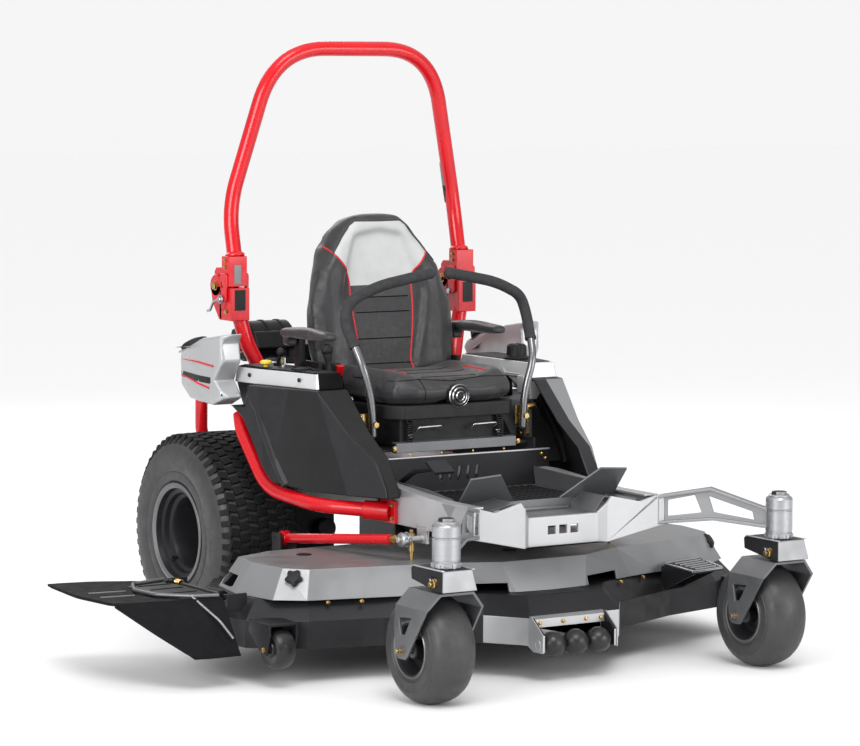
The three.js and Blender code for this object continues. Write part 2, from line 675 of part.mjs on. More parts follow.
function engineCover() {
  const shroud = prism('z', bothSides([[0, 640], [190, 640], [235, 690], [235, 820], [190, 880],
    [0, 880]]), 872, 940);
  const cleaner = prism('x', [[650, 930], [680, 985], [830, 985], [850, 930]], -364, -190);
  const fan = rod(V(60, 755, 938), V(60, 755, 962), 110, 24);
  return join(shroud, cleaner, fan, box(-240, -180, 680, 830, 900, 950));
}

function transaxle() {
  const body = box(-290, -120, 560, 800, 240, 432);
  const hub = rod(V(-292, rearAxleY, rearTyreRadius), V(-400, rearAxleY, rearTyreRadius), 60, 20, 40);
  const axle = rod(V(-280, rearAxleY, rearTyreRadius),
    V(-rearTyreOuterX + 131 + gap, rearAxleY, rearTyreRadius), 30, 20);
  const fan = rod(V(-205, 680, 430), V(-205, 680, 438), 80, 20);
  return join(body, cut(hub, box(-400, -346, 500, 900, 441, 500)), axle, fan);
}

function crankPulley() {
  return turned([[0, 475], [70, 475], [78, 480], [62, 492], [78, 504], [70, 510], [40, 512],
    [40, 540], [0, 540]], V(0, 700, 0), V(0, 700, 1), 18);
}

// Cutting deck -----------------------------------------------------------------------------

const spindles = [[-spindleX, spindleY], [0, centreSpindleY], [spindleX, spindleY]];
const deckPlan = bothSides([[0, -677], [167, -677], [255, -556], [539, -436], [770, -380],
  [922, -262], [deckHalfWidth, -120], [deckHalfWidth, 60], [820, 230], [600, 290], [0, 290]]);
const antiScalpX = 876;
const antiScalpY = -380;
const antiScalpZ = 122;
const antiScalpRadius = 62;
const rollerY = -724;
const rollerZ = 118;
const rollerLeftX = -166;
const rollerRightX = 106;
const chuteHingeX = -952;
const chuteHingeZ = 262;

// Dark pressed deck: upright rim, sloping band and flat top, open below, with its brackets.
function deckShell() {
  const wall = 7;
  const crown = inset(deckPlan, 52);
  const outside = join(
    prism('z', deckPlan, deckRimZ, deckBandZ),
    prism('z', deckPlan, deckBandZ - 0.01, deckTopZ, crown));
  const inside = join(
    prism('z', inset(deckPlan, wall), deckRimZ - 10, deckBandZ - 3),
    prism('z', inset(deckPlan, wall), deckBandZ - 3.01, deckTopZ - wall, inset(crown, 4)));
  const mouth = box(-1000, -deckHalfWidth + 60, -150, 150, 122, 190);
  const holes = spindles.map(([x, y]) => rod(V(x, y, 240), V(x, y, 300), 40, 12));
  const housings = spindles.map(([x, y]) => {
    const profile = [[16, 190], [42, 190], [58, 246], [58, 258], [16, 258]];
    return turned([...profile, profile[0]], V(x, y, 0), V(x, y, 1), 12);
  });
  const shell = cut(outside, inside, mouth, ...holes);
  return join(shell, ...housings, onBothSides(join(linkClevis(), antiScalpBracket())),
    rollerBracket(), stepBracket(), chuteHinge());
}

// Ears and pin that a drag link pulls the deck by.
function linkClevis() {
  const ear = (x) => box(x, x + 7, linkRearY - 28, linkRearY + 28, deckTopZ - 4, linkRearZ + 20);
  const pin = rod(V(-553, linkRearY, linkRearZ), V(-487, linkRearY, linkRearZ), 8, 12);
  return join(ear(-552), ear(-494), pin);
}

// Inverted U that carries a corner wheel ahead of the rim.
function antiScalpBracket() {
  const [x, y, z] = [antiScalpX, antiScalpY, antiScalpZ];
  const side = [[y - 14, z - 16], [y + 14, z - 16], [-288, 165], [-288, 202], [y - 34, 202],
    [y - 34, 170]];
  const leg = (at) => prism('x', side, at, at + 7);
  const axleHole = rod(V(-x - 60, y, z), V(-x + 60, y, z), 9.6, 10);
  const roof = box(-x - 50, -x + 50, y - 34, -288, 194, 202);
  return join(cut(join(leg(-x - 50), leg(-x + 43)), axleHole), roof);
}

// Cheeks under the nose of the deck that hold the roller shaft.
function rollerBracket() {
  const side = [[-748, 98], [-700, 98], [-660, 120], [-660, 192], [-690, 196], [-748, 150]];
  const cheek = (x) => cut(prism('x', side, x, x + 8),
    rod(V(x - 4, rollerY, rollerZ), V(x + 12, rollerY, rollerZ), 9.6, 10));
  return join(cheek(rollerLeftX), cheek(rollerRightX - 8),
    box(rollerLeftX, rollerRightX, -692, -668, 168, 192));
}

// Boarding step on the front left of the deck.
function stepBracket() {
  const tread = prism('z', [[486, -630], [622, -602], [684, -398], [516, -436]], 272, 280);
  const gusset = (x, front, rear) =>
    prism('x', [[front, 274], [rear, 274], [rear, 204], [rear - 14, 198]], x, x + 7);
  return join(tread, gusset(506, -622, -432), gusset(606, -600, -406));
}

function chuteHinge() {
  const ear = (y) => box(chuteHingeX - 8, -890, y, y + 10, 216, chuteHingeZ + 8);
  const pin = rod(V(chuteHingeX, -215, chuteHingeZ), V(chuteHingeX, 175, chuteHingeZ), 7, 12);
  return join(ear(-215), ear(165), pin);
}

// Silver cover over the pulleys, open below and behind.
function deckCover() {
  const low = bothSides([[0, -560], [130, -548], [367, -462], [480, -432], [765, -362],
    [850, -300], [880, -120], [850, 40], [670, 110], [0, 110]]);
  const high = bothSides([[0, -510], [160, -505], [330, -425], [470, -405], [742, -338],
    [800, -272], [822, -120], [795, 10], [655, 70], [0, 70]]);
  const base = deckTopZ + gap;
  const wall = 6;
  const core = prism('z', inset(low, wall), base - 10, coverTopZ - wall, inset(high, wall));
  const beltMouth = box(-150, 150, 40, 140, base - 10, 320);
  const notch = box(148, 292, -620, -440, base - 10, 282);
  const vent = box(-860, -790, -70, 30, 262, 300);
  return cut(prism('z', low, base, coverTopZ, high), core, beltMouth, onBothSides(notch), vent);
}

// Blade with its spindle shaft and drive pulley.
function blade([x, y]) {
  const bar = box(x - bladeRadius + 4, x + bladeRadius - 4, y - 32, y + 32, 123, 130);
  const sweep = rod(V(x, y, 120), V(x, y, 133), bladeRadius, 48);
  const shaft = rod(V(x, y, 124), V(x, y, 296), 14, 12);
  const hub = rod(V(x, y, 112), V(x, y, 150), 28, 12);
  const pulley = turned([[10, 264], [74, 264], [80, 268], [66, 278], [80, 288], [74, 292],
    [10, 292], [10, 264]], V(x, y, 0), V(x, y, 1), 18);
  return join(bar.intersect(sweep), shaft, hub, pulley);
}

function dragLink() {
  const front = V(-411, linkFrontY, linkFrontZ);
  const rear = V(-520, linkRearY, linkRearZ);
  const along = rear.clone().sub(front).normalize();
  const bar = rod(front.clone().addScaledVector(along, 12), rear.clone().addScaledVector(along, -12),
    16, 12);
  const eye = (at, half) => rod(at.clone().add(V(-half, 0, 0)), at.clone().add(V(half, 0, 0)), 24,
    16);
  const hole = (at, radius) => rod(at.clone().add(V(-40, 0, 0)), at.clone().add(V(40, 0, 0)),
    radius, 16);
  return cut(join(bar, eye(front, 14), eye(rear, 14)), hole(front, 10.6), hole(rear, 12));
}

// Black discharge chute: top flap, sloping front wall, and the two eyes it hinges on.
function chute() {
  const inner = -968;
  const flap = prism('z', [[inner, -204], [-1304, -142], [-1330, 60], [-1300, 320], [-1160, 290],
    [-1014, 215], [inner, 165]], 252, 260);
  const wallLow = [[inner, -318], [-1123, -318], [-1123, -310], [inner, -310]];
  const wallHigh = [[inner, -208], [-1304, -148], [-1304, -140], [inner, -200]];
  const wall = prism('z', wallLow, 100, 259, wallHigh);
  const eye = (y) => cut(
    join(rod(V(chuteHingeX, y, chuteHingeZ), V(chuteHingeX, y + 16, chuteHingeZ), 15, 16),
      box(-985, chuteHingeX - 8, y, y + 16, 253, 270)),
    rod(V(chuteHingeX, y - 5, chuteHingeZ), V(chuteHingeX, y + 25, chuteHingeZ), 8.4, 16));
  return join(flap, wall, eye(-180), eye(120));
}

function antiScalpWheel(side) {
  const [x, y, z, r] = [side * antiScalpX, antiScalpY, antiScalpZ, antiScalpRadius];
  const profile = [[0, -38], [24, -38], [24, -34], [46, -32], [r - 4, -24], [r, 0], [r - 4, 24],
    [46, 32], [24, 34], [24, 38], [0, 38]];
  const axle = rod(V(x - 51, y, z), V(x + 51, y, z), 8, 10);
  return join(turned(profile, V(x, y, z), V(x + 1, y, z), 20), axle);
}

// Three crowned rollers on one shaft.
function noseRoller() {
  const ball = (x) => {
    const round = new THREE.SphereGeometry(41, 12, 7);
    round.rotateZ(Math.PI / 2);
    round.translate(x, rollerY, rollerZ);
    return solid(round);
  };
  const middle = (rollerLeftX + rollerRightX) / 2;
  const shaft = rod(V(rollerLeftX + 2, rollerY, rollerZ), V(rollerRightX - 2, rollerY, rollerZ),
    8, 10);
  return join(shaft, ball(middle - 84), ball(middle), ball(middle + 84));
}

// Cross shaft and foot pedal that raise the deck.
function liftPedal() {
  const pivot = V(-288, -60, 536);
  const arm = tube([pivot.clone().add(V(20, 0, 0)), V(-268, -180, 600), V(-254, -298, 622)], 9, 60,
    8, 2);
  const pad = turnedAbout(box(-288, -214, -330, -268, 618, 628), V(-250, -300, 623), 'x', 30);
  const shaft = rod(pivot, V(-200, -60, 536), 12, 12);
  return join(arm, pad, shaft);
}

// Assembly ---------------------------------------------------------------------------------

add('main_frame', silver, mainFrame());
add('front_axle', silver, frontAxle());
add('foot_platform', midGrey, footPlatform());
add('seat_base', darkSteel, seatBase());
addPair('side_rail', red, sideRail());
add('rops_base', red, ropsBase());
add('rops_hoop', red, ropsHoop());
addPair('rops_pin', brightSteel, ropsPin());
addPair('pod', blackPlastic, pod());
addPair('console', silver, controlConsole());
addPair('fuel_tank', silver, fenderTank());
addPair('fuel_cap', blackPlastic, fuelCap());
add('engine_block', darkSteel, engineBlock());
add('engine_cover', blackPlastic, engineCover());
addPair('transaxle', darkSteel, transaxle());
addPair('rear_tyre', rubber, rearTyre());
addPair('rear_rim', darkSteel, rearRim());
addPair('caster_block', darkSteel, casterBlock());
addPair('caster_fork', midGrey, casterFork());
addPair('caster_wheel', rubber, casterWheel());
addPair('lever_yoke', zinc, leverYoke());
addPair('control_lever', brightSteel, lever());
add('seat_shell', blackPlastic, seatShell());
add('seat_cushion', vinyl, seatCushion());
add('seat_back', vinyl, seatBack());
addPair('armrest', vinyl, armrest());
add('seat_knob', blackPlastic, seatKnob());
add('brake_lever', blackPlastic, brakeLever());
add('lift_pedal', darkSteel, liftPedal());
add('throttle_lever', blackPlastic, throttleLever());
add('height_dial', blackPlastic, heightDial());
add('pto_switch', yellow, ptoSwitch());
add('ignition_key', brightSteel, ignitionKey());
add('crank_pulley', zinc, crankPulley());
add('deck_shell', darkSteel, deckShell());
add('deck_cover', silver, deckCover());
add('blade_right', darkSteel, blade(spindles[0]));
add('blade_centre', darkSteel, blade(spindles[1]));
add('blade_left', darkSteel, blade(spindles[2]));
addPair('drag_link', red, dragLink());
add('discharge_chute', rubber, chute());
add('anti_scalp_wheel_right', rubber, antiScalpWheel(-1));
add('anti_scalp_wheel_left', rubber, antiScalpWheel(1));
add('nose_roller', rubber, noseRoller());

// The part's origin is the bottom centre of its bounding box.
machine.updateMatrixWorld(true);
const bounds = new THREE.Box3().setFromObject(machine);
const middle = bounds.getCenter(V(0, 0, 0));
machine.position.set(-middle.x, -middle.y, -bounds.min.z);

const group = new THREE.Group();
group.name = 'zero_turn_mower';
group.add(machine);

export default group;
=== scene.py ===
"""Zero turn mower: the visible pieces and materials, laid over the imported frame."""
import json
import math

import bmesh
import bpy
from mathutils import Matrix, Vector
from mathutils.bvhtree import BVHTree


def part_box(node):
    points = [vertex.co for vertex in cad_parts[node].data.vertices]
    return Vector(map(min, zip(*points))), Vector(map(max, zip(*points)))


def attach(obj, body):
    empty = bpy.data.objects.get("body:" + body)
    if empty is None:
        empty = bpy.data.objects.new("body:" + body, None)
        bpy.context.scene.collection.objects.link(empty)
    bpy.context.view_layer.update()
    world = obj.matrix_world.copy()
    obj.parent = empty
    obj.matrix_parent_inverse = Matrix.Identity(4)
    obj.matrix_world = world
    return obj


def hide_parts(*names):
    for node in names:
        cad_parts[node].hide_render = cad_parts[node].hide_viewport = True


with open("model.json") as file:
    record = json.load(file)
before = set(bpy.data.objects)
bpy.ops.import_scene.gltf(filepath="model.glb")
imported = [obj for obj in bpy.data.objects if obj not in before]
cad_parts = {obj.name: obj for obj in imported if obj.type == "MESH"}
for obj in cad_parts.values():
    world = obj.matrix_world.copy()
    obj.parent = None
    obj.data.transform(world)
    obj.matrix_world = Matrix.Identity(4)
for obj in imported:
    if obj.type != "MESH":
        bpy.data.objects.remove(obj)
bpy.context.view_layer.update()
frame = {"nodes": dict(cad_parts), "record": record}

BODY_OF = {
    node: body
    for body, nodes in frame["record"]["behaviour"]["bodies"].items()
    for node in nodes
}
SLOT_OF = {part["node"]: part["material_slot"] for part in frame["record"]["subparts"]}
SIDES = (("right", -1), ("left", 1))

# Millimetres, measured as the CAD source does: x from the centreline, y from the seat's
# front edge (the rear axle is 675 behind it), z from the ground.
MM = 0.001
REAR_AXLE_Y = 675
WELD = 2e-5                     # metres: CAD corners closer than this are one corner
FLAT = math.radians(0.6)        # CAD faces that turn less than this are one face
OUTSIDE = 720                   # x beyond the side panels, where rays towards them start
ABOVE = 1000                    # z above the cushion, where rays down to it start
tyre_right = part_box("rear_tyre_right")
tyre_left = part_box("rear_tyre_left")
CENTRE_X = (tyre_right[0].x + tyre_left[1].x) / 2
SEAT_FRONT_Y = (tyre_right[0].y + tyre_right[1].y) / 2 - REAR_AXLE_Y * MM
TYRE_R = (tyre_right[1].z - tyre_right[0].z) / 2 / MM
TYRE_OUTER_X = (tyre_left[1].x - CENTRE_X) / MM
TYRE_W = (tyre_left[1].x - tyre_left[0].x) / MM


def at(x, y, z):
    """A point given in the machine's millimetres, in the row frame's metres."""
    return Vector((CENTRE_X + x * MM, SEAT_FRONT_Y + y * MM, z * MM))


# ---- Camera and light ----------------------------------------------------------------------


def make_camera():
    data = bpy.data.cameras.new("camera")
    data.sensor_width = 36
    data.lens = 139.9
    camera = bpy.data.objects.new("camera", data)
    bpy.context.collection.objects.link(camera)
    heading, pitch, roll = math.radians(-32.4), math.radians(-5.09), math.radians(0.18)
    turn = Matrix.Rotation(heading, 4, "Z") @ Matrix.Rotation(math.pi / 2 + pitch, 4, "X")
    camera.matrix_world = (
        Matrix.Translation(at(-5805.4, -8992.4, 1836.3)) @ turn @ Matrix.Rotation(roll, 4, "Z")
    )
    bpy.context.scene.camera = camera


def area_light(name, place, target, size, power):
    data = bpy.data.lights.new(name, "AREA")
    data.shape = "RECTANGLE"
    data.size, data.size_y = size
    data.energy = power
    light = bpy.data.objects.new(name, data)
    bpy.context.collection.objects.link(light)
    light.location = place
    light.rotation_euler = (Vector(target) - Vector(place)).to_track_quat("-Z", "Y").to_euler()


def make_studio():
    """A white backdrop, soft light that is strongest overhead, and one broad key light."""
    world = bpy.data.worlds.new("studio")
    bpy.context.scene.world = world
    world.use_nodes = True
    nodes, links = world.node_tree.nodes, world.node_tree.links
    sky = nodes["Background"]
    height = nodes.new("ShaderNodeSeparateXYZ")
    links.new(nodes.new("ShaderNodeTexCoord").outputs["Generated"], height.inputs["Vector"])
    dome = nodes.new("ShaderNodeMapRange")
    dome.inputs["From Min"].default_value = 0.1
    dome.inputs["From Max"].default_value = 1.0
    dome.inputs["To Min"].default_value = 0.42
    dome.inputs["To Max"].default_value = 0.95
    links.new(height.outputs["Z"], dome.inputs["Value"])
    links.new(dome.outputs["Result"], sky.inputs["Color"])
    backdrop = nodes.new("ShaderNodeBackground")
    backdrop.inputs["Color"].default_value = (0.92, 0.92, 0.922, 1)
    seen = nodes.new("ShaderNodeLightPath").outputs["Is Camera Ray"]
    mix = nodes.new("ShaderNodeMixShader")
    links.new(seen, mix.inputs["Fac"])
    links.new(sky.outputs["Background"], mix.inputs[1])
    links.new(backdrop.outputs["Background"], mix.inputs[2])
    links.new(mix.outputs["Shader"], nodes["World Output"].inputs["Surface"])
    middle = (0, 0, 0.7)
    area_light("key", (-6.5, -3.2, 3.0), middle, (4, 3), 330)
    area_light("front", (3.8, -7.5, 2.2), middle, (5, 3), 240)
    area_light("rim", (1.5, 6.0, 4.5), middle, (4, 2), 90)
    sun = bpy.data.lights.new("overhead", "SUN")
    sun.energy = 1.35
    sun.angle = math.radians(28)
    lamp = bpy.data.objects.new("overhead", sun)
    bpy.context.collection.objects.link(lamp)
    lamp.rotation_euler = Vector((0.30, 0.70, -1.1)).to_track_quat("-Z", "Y").to_euler()
    mesh = bpy.data.meshes.new("floor")
    reach = 60
    corners = [(-reach, -reach, 0), (reach, -reach, 0), (reach, reach, 0), (-reach, reach, 0)]
    mesh.from_pydata(corners, [], [(0, 1, 2, 3)])
    floor = bpy.data.objects.new("floor", mesh)
    bpy.context.collection.objects.link(floor)
    paint = surface("floor_paint", (0.84, 0.84, 0.845), 0.85, mottle=0.005, gloss=0.1)
    mesh.materials.append(paint)
    settings = bpy.context.scene.view_settings
    settings.view_transform = "Standard"
    settings.look = "None"


# ---- Materials -----------------------------------------------------------------------------


def surface(name, color, rough, metal=0.0, mottle=0.08, mottle_scale=9.0, rough_spread=0.08,
            bumps=(), coat=0.0, sheen=0.0, stretch=(1, 1, 1), dust=None, gloss=0.5):
    """A Principled material whose colour, roughness and relief vary over the surface.

    bumps are (kind, scale per metre, strength, height in metres); dust is (colour, share).
    """
    made = bpy.data.materials.new(name)
    made.use_nodes = True
    nodes, links = made.node_tree.nodes, made.node_tree.links
    shader = nodes["Principled BSDF"]
    shader.inputs["Metallic"].default_value = metal
    shader.inputs["Specular IOR Level"].default_value = gloss
    shader.inputs["Coat Weight"].default_value = coat
    shader.inputs["Coat Roughness"].default_value = 0.12
    shader.inputs["Sheen Weight"].default_value = sheen
    place = nodes.new("ShaderNodeMapping")
    place.inputs["Scale"].default_value = stretch
    links.new(nodes.new("ShaderNodeTexCoord").outputs["Object"], place.inputs["Vector"])

    def texture(kind, scale, detail=4.0):
        node = nodes.new("ShaderNodeTexVoronoi" if kind == "cells" else "ShaderNodeTexNoise")
        node.inputs["Scale"].default_value = scale
        if kind != "cells":
            node.inputs["Detail"].default_value = detail
        links.new(place.outputs["Vector"], node.inputs["Vector"])
        return node.outputs["Distance" if kind == "cells" else "Fac"]

    def spread(value, low, high):
        node = nodes.new("ShaderNodeMapRange")
        node.inputs["From Min"].default_value = 0.3
        node.inputs["From Max"].default_value = 0.7
        node.inputs["To Min"].default_value = low
        node.inputs["To Max"].default_value = high
        links.new(value, node.inputs["Value"])
        return node.outputs["Result"]

    def blend(share, first, second):
        node = nodes.new("ShaderNodeMix")
        node.data_type = "RGBA"
        links.new(share, node.inputs["Factor"])
        for socket, value in ((node.inputs["A"], first), (node.inputs["B"], second)):
            if isinstance(value, tuple):
                socket.default_value = (*value, 1)
            else:
                links.new(value, socket)
        return node.outputs["Result"]

    dark = tuple(c * (1 - mottle) for c in color)
    light = tuple(min(1, c * (1 + mottle)) for c in color)
    tone = blend(spread(texture("noise", mottle_scale), 0, 1), dark, light)
    if dust:
        dust_color, share = dust
        tone = blend(spread(texture("noise", mottle_scale * 4, 8), 0, share), tone, dust_color)
    links.new(tone, shader.inputs["Base Color"])
    low, high = max(0.02, rough - rough_spread), min(1, rough + rough_spread)
    links.new(spread(texture("noise", mottle_scale * 3), low, high), shader.inputs["Roughness"])
    normal = None
    for kind, scale, strength, height in bumps:
        bump = nodes.new("ShaderNodeBump")
        bump.inputs["Strength"].default_value = strength
        bump.inputs["Distance"].default_value = height
        links.new(texture(kind, scale), bump.inputs["Height"])
        if normal is not None:
            links.new(normal, bump.inputs["Normal"])
        normal = bump.outputs["Normal"]
    if normal is not None:
        links.new(normal, shader.inputs["Normal"])
    return made


ORANGE_PEEL = (("noise", 260, 0.02, 0.001),)
MOULDED = (("noise", 900, 0.25, 0.0006), ("cells", 420, 0.08, 0.0005))
CAST = (("noise", 180, 0.4, 0.0015),)
RUBBERY = (("noise", 320, 0.25, 0.001),)
GRAIN = (("cells", 520, 0.30, 0.0008), ("noise", 60, 0.2, 0.002))
POWDER = (("noise", 700, 0.10, 0.0004), ("noise", 120, 0.02, 0.001))


def make_materials():
    m = {}
    m["silver"] = surface("silver_paint", (0.47, 0.475, 0.485), 0.40, 0.65, 0.05, 5, bumps=POWDER)
    m["silver_mould"] = surface("silver_moulding", (0.43, 0.435, 0.445), 0.34, 0.45, 0.05, 4,
                                bumps=ORANGE_PEEL, coat=0.15)
    # A darker copy of the silver paint, for parts painted the same silver: its darker tone is
    # painted shade.
    m["silver_deck"] = surface("silver_paint_shaded", (0.27, 0.273, 0.28), 0.42, 0.6, 0.05, 5,
                               bumps=POWDER)
    m["silver_side"] = surface("console_silver", (0.62, 0.625, 0.635), 0.36, 0.3, 0.04, 4,
                               bumps=ORANGE_PEEL, coat=0.15)
    m["red"] = surface("red_paint", (0.56, 0.004, 0.010), 0.26, 0.0, 0.08, 7, 0.04,
                       bumps=ORANGE_PEEL, coat=0.35, gloss=0.3)
    m["dark"] = surface("dark_grey_paint", (0.020, 0.020, 0.022), 0.42, 0.35, 0.10, 8,
                        bumps=POWDER, gloss=0.3)
    m["grey"] = surface("grey_paint", (0.165, 0.168, 0.175), 0.38, 0.65, 0.08, 8, bumps=POWDER)
    m["black"] = surface("black_moulding", (0.010, 0.010, 0.011), 0.50, 0.0, 0.15, 10,
                         bumps=MOULDED, gloss=0.28)
    m["pod"] = surface("pod_moulding", (0.014, 0.014, 0.016), 0.42, 0.0, 0.15, 10,
                       bumps=MOULDED, gloss=0.35)
    # The tread is a darker copy of the carcass rubber: painted shade on the tread. The carcass grey
    # is partly the rubber's own and partly a painted sheen.
    m["tyre"] = surface("tyre_rubber", (0.034, 0.034, 0.035), 0.48, 0.0, 0.2, 14, 0.1,
                        bumps=RUBBERY, dust=((0.05, 0.049, 0.047), 0.3), gloss=0.45)
    m["tread"] = surface("tread_rubber_shaded", (0.009, 0.009, 0.010), 0.7, 0.0, 0.2, 30, 0.1,
                         bumps=RUBBERY, gloss=0.25)
    m["rubber"] = surface("black_rubber", (0.006, 0.006, 0.007), 0.7, 0.0, 0.15, 12,
                          bumps=RUBBERY, gloss=0.12)
    m["roller"] = surface("roller_rubber", (0.011, 0.011, 0.012), 0.34, 0.0, 0.15, 20,
                          bumps=RUBBERY, gloss=0.5)
    m["vinyl"] = surface("seat_vinyl", (0.026, 0.026, 0.028), 0.38, 0.0, 0.12, 16,
                         bumps=GRAIN, sheen=0.08, gloss=0.4)
    m["vinyl_light"] = surface("headrest_vinyl", (0.46, 0.47, 0.47), 0.5, 0.0, 0.05, 16,
                               bumps=GRAIN)
    m["vinyl_insert"] = surface("insert_vinyl", (0.028, 0.028, 0.030), 0.5, 0.0, 0.12, 30,
                                bumps=(("cells", 300, 0.4, 0.001),), sheen=0.1, gloss=0.35)
    m["piping"] = surface("red_piping", (0.55, 0.01, 0.02), 0.5, 0.0, 0.1, 40,
                          bumps=(("noise", 900, 0.3, 0.0005),))
    m["steel"] = surface("bright_steel", (0.46, 0.465, 0.475), 0.30, 1.0, 0.06, 12,
                         stretch=(1, 1, 0.15), bumps=(("noise", 900, 0.03, 0.0002),))
    m["lever"] = surface("lever_steel", (0.20, 0.202, 0.208), 0.28, 0.9, 0.04, 12, 0.02)
    m["alloy"] = surface("turned_alloy", (0.42, 0.425, 0.44), 0.34, 0.95, 0.04, 20,
                         stretch=(0.2, 0.2, 8), bumps=(("noise", 300, 0.05, 0.0002),))
    m["zinc"] = surface("yellow_zinc", (0.50, 0.34, 0.13), 0.3, 1.0, 0.25, 60,
                        bumps=(("noise", 500, 0.1, 0.0003),))
    m["yellow"] = surface("yellow_moulding", (0.72, 0.52, 0.02), 0.35, 0.0, 0.06, 20,
                          bumps=ORANGE_PEEL)
    m["foam"] = surface("foam_grip", (0.030, 0.030, 0.032), 0.75, 0.0, 0.2, 60,
                        bumps=(("cells", 700, 0.5, 0.0010),), gloss=0.3)
    m["cast"] = surface("cast_alloy", (0.045, 0.045, 0.047), 0.46, 0.55, 0.15, 20, bumps=CAST)
    # Near black with no shine, laid on faces and marks that stand for shade: painted shade.
    m["shadow"] = surface("painted_shade", (0.006, 0.006, 0.006), 0.9, 0.0, 0.3, 30, gloss=0.1)
    return m


# ---- Shapes --------------------------------------------------------------------------------


def rounded_path(points, bend, steps=8):
    """Points in mm with each inner corner turned into an arc-like curve."""
    path = [Vector(points[0])]
    for before, corner, after in zip(points, points[1:], points[2:]):
        before, corner, after = Vector(before), Vector(corner), Vector(after)
        reach = min(bend, (before - corner).length / 2, (after - corner).length / 2)
        start = corner + (before - corner).normalized() * reach
        end = corner + (after - corner).normalized() * reach
        for i in range(steps + 1):
            t = i / steps
            path.append(start.lerp(corner, t).lerp(corner.lerp(end, t), t))
    path.append(Vector(points[-1]))
    cleaned = [path[0]]
    for point in path[1:]:
        if (point - cleaned[-1]).length > 0.5:
            cleaned.append(point)
    return cleaned


def span(side, a, b):
    """Two distances from the centreline as x on one side, the lower x first."""
    return sorted((side * a, side * b))


